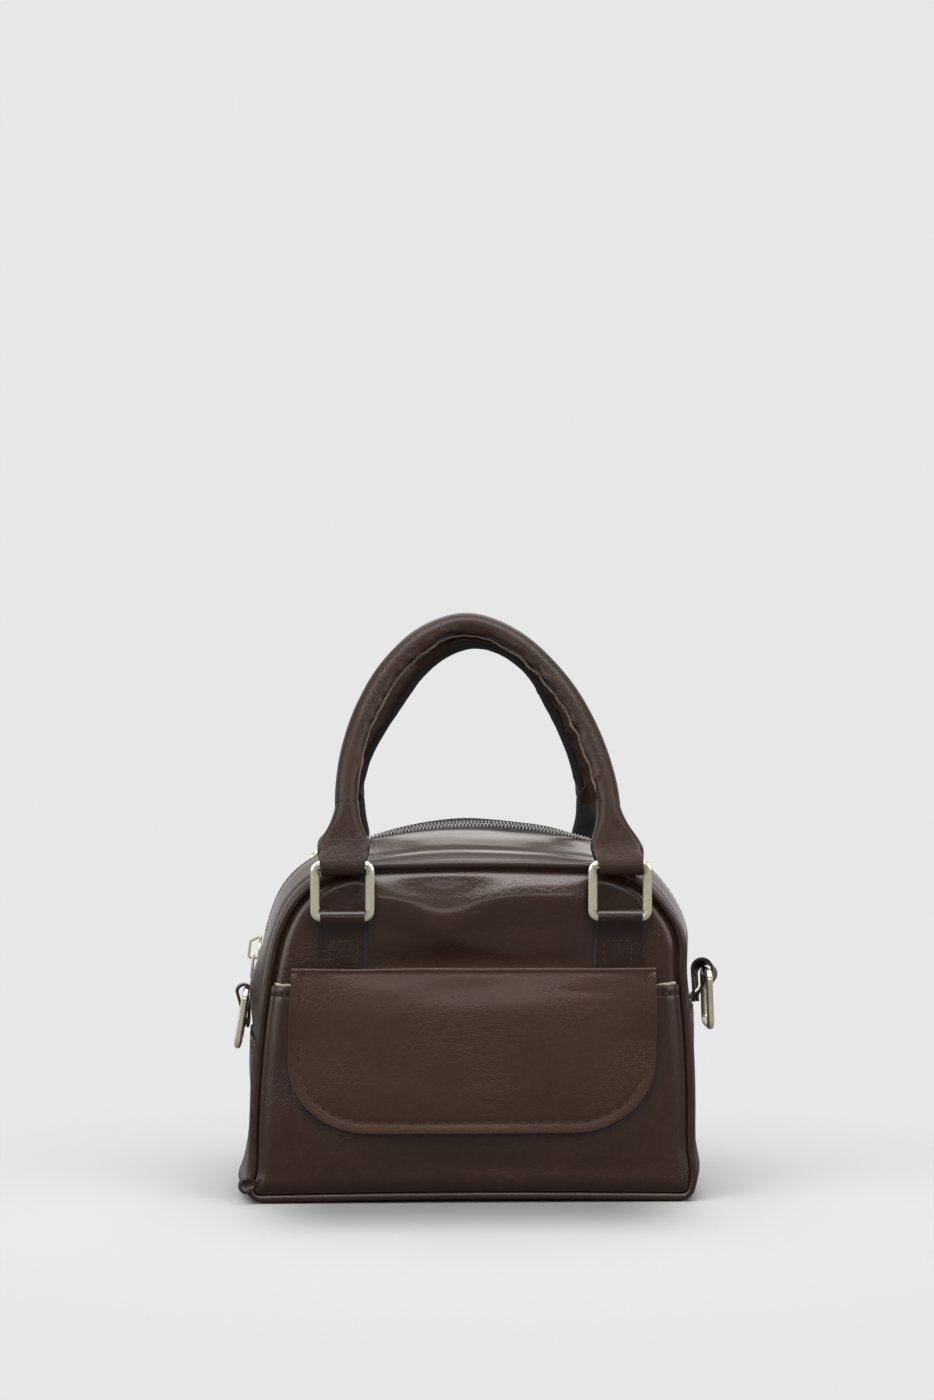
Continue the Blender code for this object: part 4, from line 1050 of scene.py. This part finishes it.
def build_handle_tab(node, side, x, low, foot):
    """A tab that holds a handle's ring. low is its lower end and foot where its stitches end."""
    front, back = strap(loop_path(side, low), STRAP_WIDTH / 2, x, columns=15)
    hand = math.copysign(1, x)
    middle = x - hand * 0.8
    behind = len(spread(low, RING_Z - 1.5, 2.2))
    for i, (outer, inner) in enumerate(zip(front, back)):
        for p in outer + inner:
            p.x -= hand * 1.5 * (1 - smooth(i, behind, behind + 13))
    puffed = (TAB_SEWN + low) / 2 + (3 if side < 0 else 0)
    for p in [p for row in front for p in row if abs(p.y) > RING_Y - 2.5]:
        p.y += side * 0.55 * bump(p.z, puffed, 5.5) * bump(p.x, middle, 4.2)
    grids = (front, back) if side < 0 else (back, front)
    # The tabs' darker leather is painted shade.
    piece(f"{node}_leather", skin(*grids, bulge=0.18), [TAB_LEATHER_SHADED, EDGE_PAINT, BLACK_LINING], node)
    rows = [[(middle + a, z) for z in spread(TAB_SEWN, foot, 1.5)] for a in (-TAB_STITCH_X, TAB_STITCH_X)]
    for z in (TAB_SEWN, foot)[: 1 if side < 0 else 2]:
        rows.append([(middle + a, z) for a in spread(-TAB_STITCH_X, TAB_STITCH_X, 1.1)])
    face = side * (RING_Y - TAB_LOOP + STRAP * 1.5 + 0.25)
    for i, row in enumerate(rows):
        line = [(Vector((a, face, z)), Vector((0, side, 0))) for a, z in row]
        stitches(f"{node}_stitches_{i}", line, node)


def build_handle_fittings():
    for end, side in ENDS:
        low, foot = (104.5, 111.5) if side < 0 else (90.0, 92.0)
        for hand, x in (("left", -RING_X), ("right", RING_X)):
            x += RING_SHIFT if side < 0 else 0.0
            turn = Matrix.Translation((x, side * RING_Y, RING_Z)) @ Matrix.Rotation(-side * RING_LEAN, 4, "X")
            build_ring(f"{end}_ring_{hand}", turn, RING_Z)
            build_handle_tab(f"{end}_tab_{hand}", side, x, low, foot)


# ---------------------------------------------------------------- handles


REAR_SWAY_LEFT = [(0, 0), (3, 0), (20, 3.6), (50, 2.8), (82, 6.0), (99, 4.0), (119, 1.0)]
REAR_SWAY_RIGHT = [(0, 0), (3, 0), (20, -3.0), (50, -4.6), (82, -5.0), (99, -1.4), (119, 1.0)]
FLARE_WIDTHS = [(-6, 10.0), (0, 10.6), (4.6, 11.7), (8.5, 12.2), (12, 11.3), (15.5, 9.6), (19.4, 7.8), (24, 6.4),
                (28, 5.7), (33, 5.5)]
FLARE_DEPTHS = [(0, 4.0), (8, 3.6), (14, 3.9), (20, 4.7), (26, 5.3), (31, 5.45)]
FLARE_TOP = 31.0


def along_table(table, value):
    """A smooth curve through a table's values."""
    last = len(table) - 1
    k = next((i for i in range(last) if value <= table[i + 1][0]), last - 1)
    (x0, y0), (x1, y1) = table[k], table[k + 1]
    before = table[max(k - 1, 0)]
    after = table[min(k + 2, last)]
    first = (y1 - before[1]) / (x1 - before[0])
    second = (after[1] - y0) / (after[0] - x0)
    t = min(1.0, max(0.0, (value - x0) / (x1 - x0)))
    span = x1 - x0
    return ((2 * t**3 - 3 * t**2 + 1) * y0 + (t**3 - 2 * t**2 + t) * span * first
            + (3 * t**2 - 2 * t**3) * y1 + (t**3 - t**2) * span * second)


def arch_point(angle):
    across = math.cos(angle)
    power = 2 / ARCH_POWER
    return Vector((math.copysign(abs(across) ** power, across) * LEG_X, 0.0,
                   LEG_TOP + math.sin(angle) ** power * (HANDLE_TOP - LEG_TOP)))


def arch_stations(count):
    """Points evenly along a handle's arch, each with the outward direction and the length there."""
    steps = 2000
    fine = [arch_point(math.pi * i / steps) for i in range(steps + 1)]
    lengths = reaches(fine)
    found = []
    for i in range(count + 1):
        wanted = lengths[-1] * i / count
        k = bisect_left(lengths, wanted - 1e-9)
        angle = math.pi * k / steps
        along = arch_point(min(math.pi, angle + 0.0016)) - arch_point(max(0.0, angle - 0.0016))
        if i in (0, count):
            along = Vector((0, 0, 1 if i == 0 else -1))
        found.append((fine[k], Vector((along.z, 0, -along.x)).normalized(), wanted))
    return found


def handle_placer(side):
    """A function that takes a point of the handle's own plane to its place at rest."""
    incline = math.radians(17.5 if side < 0 else 25.3)
    top_y = side * (RING_Y + RING_SPACING * math.sin(RING_LEAN))
    top_z = RING_Z + RING_SPACING * math.cos(RING_LEAN)
    turn = Matrix.Translation((0, top_y, top_z)) @ Matrix.Rotation(side * incline, 4, "X")

    def place(point):
        x, b, u = point
        if side < 0:
            sway = RING_SHIFT - 0.050 * u
        else:
            sway = mix(along_table(REAR_SWAY_LEFT, u), along_table(REAR_SWAY_RIGHT, u), smooth(x, -30, 30))
        spot = turn @ Vector((x + sway, b * -side, u))
        spot.x += LEAN * (RING_Z - spot.z)
        return spot

    return place


def wrap_reach(s, length, sign, side):
    """How far the leather reaches round the tube from its outer side at length s, in radians, with
    sign 1 for the edge on the bag's inner side and -1 for the other."""
    if side < 0:
        reach = 160 if sign > 0 else 143
    else:
        reach = 92 if sign > 0 else 152
    ragged = 0.34 * wave(s, sign * 3.0, side * 5.0, 17, 1.0) + 0.05 * wave(s, sign, side, 4.0, 6.0)
    return mix(math.radians(170), math.radians(reach) + ragged, smooth(min(s, length - s), 2, 16))


def build_handle(end, side):
    place = handle_placer(side)
    body = f"{end}_handle"
    stations = arch_stations(150)
    length = stations[-1][2]

    def points(station, share):
        centre, out, s = station
        high, low = (wrap_reach(s, length, sign, side) for sign in (1, -1))
        angle = -low + (low + high) * share
        lip = smooth(high - angle if angle > 0 else angle + low, 0.55, 0.0)
        curl = 0.75 * lip * (0.8 + 0.9 * wave(s, 0, side, 6, 4.0)) * smooth(min(s, length - s), 4, 16)
        pucker = 0.20 * smooth(abs(angle), 1.2, 2.6) * wave(s, angle * 2, side, 4.0, 2.0)
        radius = HANDLE_RADIUS + curl + pucker + 0.16 * wave(s, angle * 3, side, 22, 5.0)
        flat = Vector((math.cos(angle) * (radius + 0.25 * math.cos(angle)), math.sin(angle) * radius))
        return [place(centre + out * spot.x + Vector((0, spot.y, 0)))
                for spot in (flat, flat - flat.normalized() * 1.25)]

    grids = paired(stations, spread(0, 1, 1 / 34), points)
    piece(f"{end}_handle_wrap", skin(*grids, bulge=0.22), [HANDLE_LEATHER, RAW_EDGE, BLACK_LINING],
          f"{end}_handle_cover", body=body)

    rings = []
    for centre, out, s in arch_stations(90):
        radius = 3.75 + 0.10 * wave(s, 0, side, 6, 3.0)
        squeeze = (0.2 if side < 0 else 1.7) * smooth(min(s, length - s), 4, 20)
        rings.append([place(centre + out * (radius * a - squeeze) + Vector((0, radius * b + 0.5 * squeeze, 0)))
                      for a, b in around(20)])
    piece(f"{end}_handle_cord", tube(rings), [BLACK_LINING], f"{end}_handle_core", body=body, sharp=80)

    for hand, sign in (("left", -1), ("right", 1)):
        build_flare(end, side, hand, sign, place)


def flare_leg(u, facing, s, sign, side):
    """Depths of a flare's outer and inner face at height u and share s of its width."""
    open_share = 1 - smooth(u, 2.0, 12.0)
    power = mix(3.6, 2.0, smooth(u, 8, 24))
    crown = max(0.0, 1 - abs(s) ** power) ** (1 / power)
    height = along_table(FLARE_DEPTHS, u) * mix(crown, 1.0, open_share)
    height -= 0.40 * bump(u, 13, 6) * bump(s, 0.15 * sign, 0.5)
    height = max(0.02, height + 0.13 * wave(s * 9 + sign * 40, facing * 7, u, 12, side + 2.0))
    return height, max(0.0, mix(max(0.0, height - 1.3), height - 1.35, open_share))


def build_flare(end, side, hand, sign, place):
    """The handle's flat flared end: one strap that runs down in front, round the bar and up behind."""
    heights = spread(FLARE_TOP, 0.0, 0.9)
    stations = [(u, 1, None) for u in heights]
    stations += [(0.0, 0, -math.pi * i / 14) for i in range(1, 14)]
    stations += [(u, -1, None) for u in reversed(heights)]

    def points(station, s):
        u, facing, turn = station
        if turn is None:
            width = along_table(FLARE_WIDTHS, u)
            spots = [(facing * y, u) for y in flare_leg(u, facing, s, sign, side)]
        else:
            width = 10.6 + 0.55 * math.sin(turn)
            spots = [(a * math.cos(turn), b * math.sin(turn)) for a, b in ((4.0, 5.2), (2.65, 3.8))]
        x = sign * (RING_X + (LEG_X - RING_X) * min(1.0, u / LEG_TOP)) + s * width
        return [place(Vector((x - inward, y, z))) for inward, (y, z) in zip((0.0, s * 0.25), spots)]

    steps = 24
    *shell, marks = skin(*paired(stations, spread(-1, 1, 2 / steps), points), bulge=0.12)
    hidden = 2 * steps * (len(heights) - 1)
    marks[:hidden] = [2] * hidden
    piece(f"{end}_handle_end_{hand}", (*shell, marks), [HANDLE_LEATHER, EDGE_PAINT, BLACK_LINING],
          body=f"{end}_handle", slot=f"{end}_handle_cover")
    centre = Vector((sign * LEG_X, 0, LEG_TOP + 2.2))
    line = []
    for turn in spread(-2.3, 2.3, 4.6 / 40):
        angle = turn + (0 if sign > 0 else math.pi)
        around_leg = Vector((math.cos(angle) * (HANDLE_RADIUS + 0.2), math.sin(angle) * (HANDLE_RADIUS + 0.08), 0))
        spot = place(centre + around_leg)
        line.append((spot, (spot - place(centre)).normalized()))
    stitches(f"{end}_handle_stitches_{hand}", line, f"{end}_handle_cover", f"{end}_handle", pitch=3.1)


# ---------------------------------------------------------------- side loops and rings


def build_side_fittings():
    """Loops and rings for a shoulder strap. Each side has its own loop radius, skew, twist and lean."""
    for hand, side, loop_z, seam_z, radius, skew, twist, ring_lean, shift in (
        ("left", -1, 95.5, SEAM_LEFT, 3.2, 0.06, 0.05, 9.0, 1.2),
        ("right", 1, 104.0, SEAM_RIGHT, 4.7, 0.26, 0.22, 2.0, 0.0),
    ):
        flat, normal = CROWN.place(CROWN.number_at(loop_z))
        origin = Vector((side * flat.x, 0.0, flat.y))
        out = Vector((side * normal.x, 0.0, normal.y))
        up = Vector((-side * normal.y, 0.0, normal.x))
        foot = (seam_z - loop_z) / up.z + 0.3
        inner = 0.3 + STRAP / 2
        outer = inner + STRAP + 0.3
        path = [(inner, b) for b in spread(foot, -radius * 0.4, 1.5)]
        for i in range(25):
            angle = math.radians(8 + 200 * i / 24)
            path.append((inner + radius - radius * math.cos(angle), radius * math.sin(angle)))
        last = Vector(path[-1])
        goal = Vector((outer, foot + STRAP * 2))
        path += [last.lerp(goal, i / 6) for i in range(1, 7)] + [(outer, foot)]

        def world(p):
            free = smooth(p.z, foot + 1, -radius)
            return (origin + out * (p.y + twist * (p.x + 9) * free) + up * (p.z - skew * p.x * free)
                    + Vector((0, p.x, 0)))

        node = f"side_tab_{hand}"
        grids = [[[world(p) for p in row] for row in grid] for grid in strap(path, 9.0)]
        piece(f"{node}_leather", skin(*grids, bulge=0.15), [BODY_LEATHER, PIPING_LEATHER, BODY_LEATHER], node)

        joint = next(j for j in frame["joints"] if j["name"] == f"side_ring_{hand}_swing")
        bar = Vector(joint["pos_m"]) / MM + Vector((shift, 0, 0))
        turn = Matrix.Translation(bar) @ Matrix.Rotation(side * -math.radians(ring_lean), 4, "Y")
        turn = turn @ Matrix.Rotation(math.pi, 4, "X") @ Matrix.Rotation(math.pi / 2, 4, "Z")
        build_ring(f"side_ring_{hand}", turn, bar.z)


def build_zip_pull(node, body, bevel):
    """A copy of a CAD node with its corners rounded, leaning with the bag."""
    name = f"{node}_metal"
    mesh = frame["nodes"][node].data.copy()
    mesh.name = name
    solid = bmesh.new()
    solid.from_mesh(mesh)
    bmesh.ops.remove_doubles(solid, verts=solid.verts[:], dist=0.000002)
    bmesh.ops.dissolve_limit(solid, angle_limit=math.radians(2), verts=solid.verts[:], edges=solid.edges[:])
    solid.to_mesh(mesh)
    solid.free()
    middle = sum((v.co.z for v in mesh.vertices), 0.0) / len(mesh.vertices)
    for vertex in mesh.vertices:
        vertex.co.x += LEAN * middle + SLIDER_SHIFT * MM
    mesh.materials.clear()
    mesh.materials.append(GOLD)
    made = show(name, mesh)
    rounding = made.modifiers.new("rounding", "BEVEL")
    rounding.width = bevel * MM
    rounding.segments = 3
    rounding.limit_method = "ANGLE"
    rounding.angle_limit = math.radians(30)
    bpy.context.view_layer.update()
    graph = bpy.context.evaluated_depsgraph_get()
    rounded = bpy.data.meshes.new_from_object(made.evaluated_get(graph))
    made.modifiers.clear()
    made.data = rounded
    rounded.shade_smooth()
    rounded.set_sharp_from_angle(angle=math.radians(40))
    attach(made, body)
    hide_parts(node)


# ---------------------------------------------------------------- the scene


BACKDROP = (0.797, 0.797, 0.797, 1.0)
FLOOR_SHADE = (0.487, 0.487, 0.487, 1.0)
BLACK = (0.0, 0.0, 0.0, 1.0)


def build_board():
    board = frame["nodes"]["base_board"]
    board.data.materials.clear()
    board.data.materials.append(BOARD)


def fade(tree, value, low, high, start, end=0.0):
    """A soft step from start to end where a value runs from low to high."""
    return add(tree, "MapRange", interpolation_type="SMOOTHSTEP", Value=value, From_Min=low, From_Max=high,
               To_Min=start, To_Max=end)


def seen_only(tree, output, others, seen, *names):
    """The output shows seen to the named kinds of ray and others to all the rest."""
    rays = [add(tree, "LightPath", out=name) for name in names]
    share = add(tree, "Math", *rays, operation="MAXIMUM") if len(rays) > 1 else rays[0]
    join(tree.nodes[output].inputs["Surface"], add(tree, "MixShader", share, others, seen))


def stage_face(name, corners, finish):
    mesh = bpy.data.meshes.new(name)
    mesh.from_pydata(corners, [], [[0, 1, 2, 3]])
    mesh.materials.append(finish)
    show(name, mesh)


def build_stage():
    """A pale floor that keeps the bag's shadow, darkened further by painted shadow round the bag's foot, and a pale
    wall behind it, in one even grey away from the bag.
    """
    ground, tree, shader, spot = node_material("floor")
    feed(shader, Base_Color=(0.16, 0.16, 0.16, 1), Roughness=0.9, Specular_IOR_Level=0.0)
    from_x, from_y = (
        add(tree, "Math", add(tree, "Math", add(tree, "SeparateXYZ", spot, out=axis), offset, operation="ADD"),
            operation="ABSOLUTE")
        for axis, offset in (("X", 0.0), ("Y", 0.018))
    )
    # Painted shadow: under is a band round the bag's foot, deepest in front, where the floor's diffuse colour is
    # darkened towards black on top of the shadow the lamps cast.
    under = add(tree, "Math", fade(tree, from_x, 0.060, 0.118, 1.0), fade(tree, from_y, 0.038, 0.128, 0.52),
                operation="MULTIPLY")
    painted_shadow_colour = add(tree, "Mix", out="Result", data_type="RGBA", Factor=under, A=FLOOR_SHADE, B=BLACK)
    near = fade(tree, add(tree, "VectorMath", spot, out="Value", operation="LENGTH"), 0.14, 0.40, 1.0)
    glow = add(tree, "Emission", Color=BACKDROP, Strength=1.0)
    seen = add(tree, "MixShader", near, glow, add(tree, "BsdfDiffuse", Color=painted_shadow_colour))
    seen_only(tree, "Material Output", shader.outputs["BSDF"], seen, "Is Camera Ray")
    stage_face("floor", [(-5, -5, 0), (5, -5, 0), (5, 5, 0), (-5, 5, 0)], ground)

    wall, tree, shader, _ = node_material("wall")
    feed(shader, Base_Color=(0.30, 0.30, 0.30, 1), Roughness=0.9)
    glow = add(tree, "Emission", Color=BACKDROP, Strength=1.0)
    seen_only(tree, "Material Output", shader.outputs["BSDF"], glow, "Is Camera Ray", "Is Glossy Ray")
    stage_face("wall", [(-14, 3, 0.001), (14, 3, 0.001), (14, 3, 5), (-14, 3, 5)], wall)


def build_world():
    world = bpy.data.worlds.new("studio")
    bpy.context.scene.world = world
    world.use_nodes = True
    tree = world.node_tree
    ground = tree.nodes["Background"]
    feed(ground, Color=(1.0, 1.0, 1.0, 1.0), Strength=0.11)
    seen = add(tree, "Background", Color=BACKDROP, Strength=1.0)
    seen_only(tree, "World Output", ground.outputs["Background"], seen, "Is Camera Ray")


def area_light(name, location, target, size, power):
    data = bpy.data.lights.new(name, "AREA")
    data.shape = "RECTANGLE"
    data.size, data.size_y = size
    data.energy = power
    lamp = show(name, data)
    lamp.location = location
    lamp.rotation_euler = (Vector(target) - Vector(location)).to_track_quat("-Z", "Y").to_euler()


def build_camera():
    distance = 1.502
    yaw = math.radians(2.0)
    data = bpy.data.cameras.new("camera")
    data.sensor_fit = "VERTICAL"
    data.sensor_height = 36.0
    data.lens = 80.0
    camera = show("camera", data)
    camera.location = (-distance * math.sin(yaw) - 0.0007, -distance * math.cos(yaw), 0.236)
    camera.rotation_euler = (math.pi / 2, 0.0, -yaw)
    bpy.context.scene.camera = camera


bpy.context.scene.view_settings.view_transform = "Standard"
build_camera()
build_world()
build_stage()
area_light("key", (0.0, -1.12, 2.05), (0, 0, 0.12), (2.4, 1.0), 53)
area_light("overhead", (0.0, 0.0, 1.75), (0, 0.05, 0.1), (2.2, 1.2), 12)
area_light("behind", (0.0, 1.00, 1.45), (0, 0, 0.1), (1.6, 0.9), 12)
area_light("front_strip", (0.0, -3.0, 0.98), (0, 0, 0.12), (2.0, 0.30), 9)
area_light("left_front", (-1.95, -1.20, 0.95), (0, 0, 0.12), (2.0, 1.7), 30)
area_light("right_front", (1.95, -1.20, 0.95), (0, 0, 0.12), (2.0, 1.7), 23)

build_panels()
build_piping()
build_gusset()
build_curl()
build_pocket()
build_flap()
build_handle_fittings()
build_handle("front", -1)
build_handle("rear", 1)
build_side_fittings()
build_zip_pull("zipper_slider", "slider", 0.22)
build_zip_pull("zipper_puller", "puller", 0.28)
build_board()
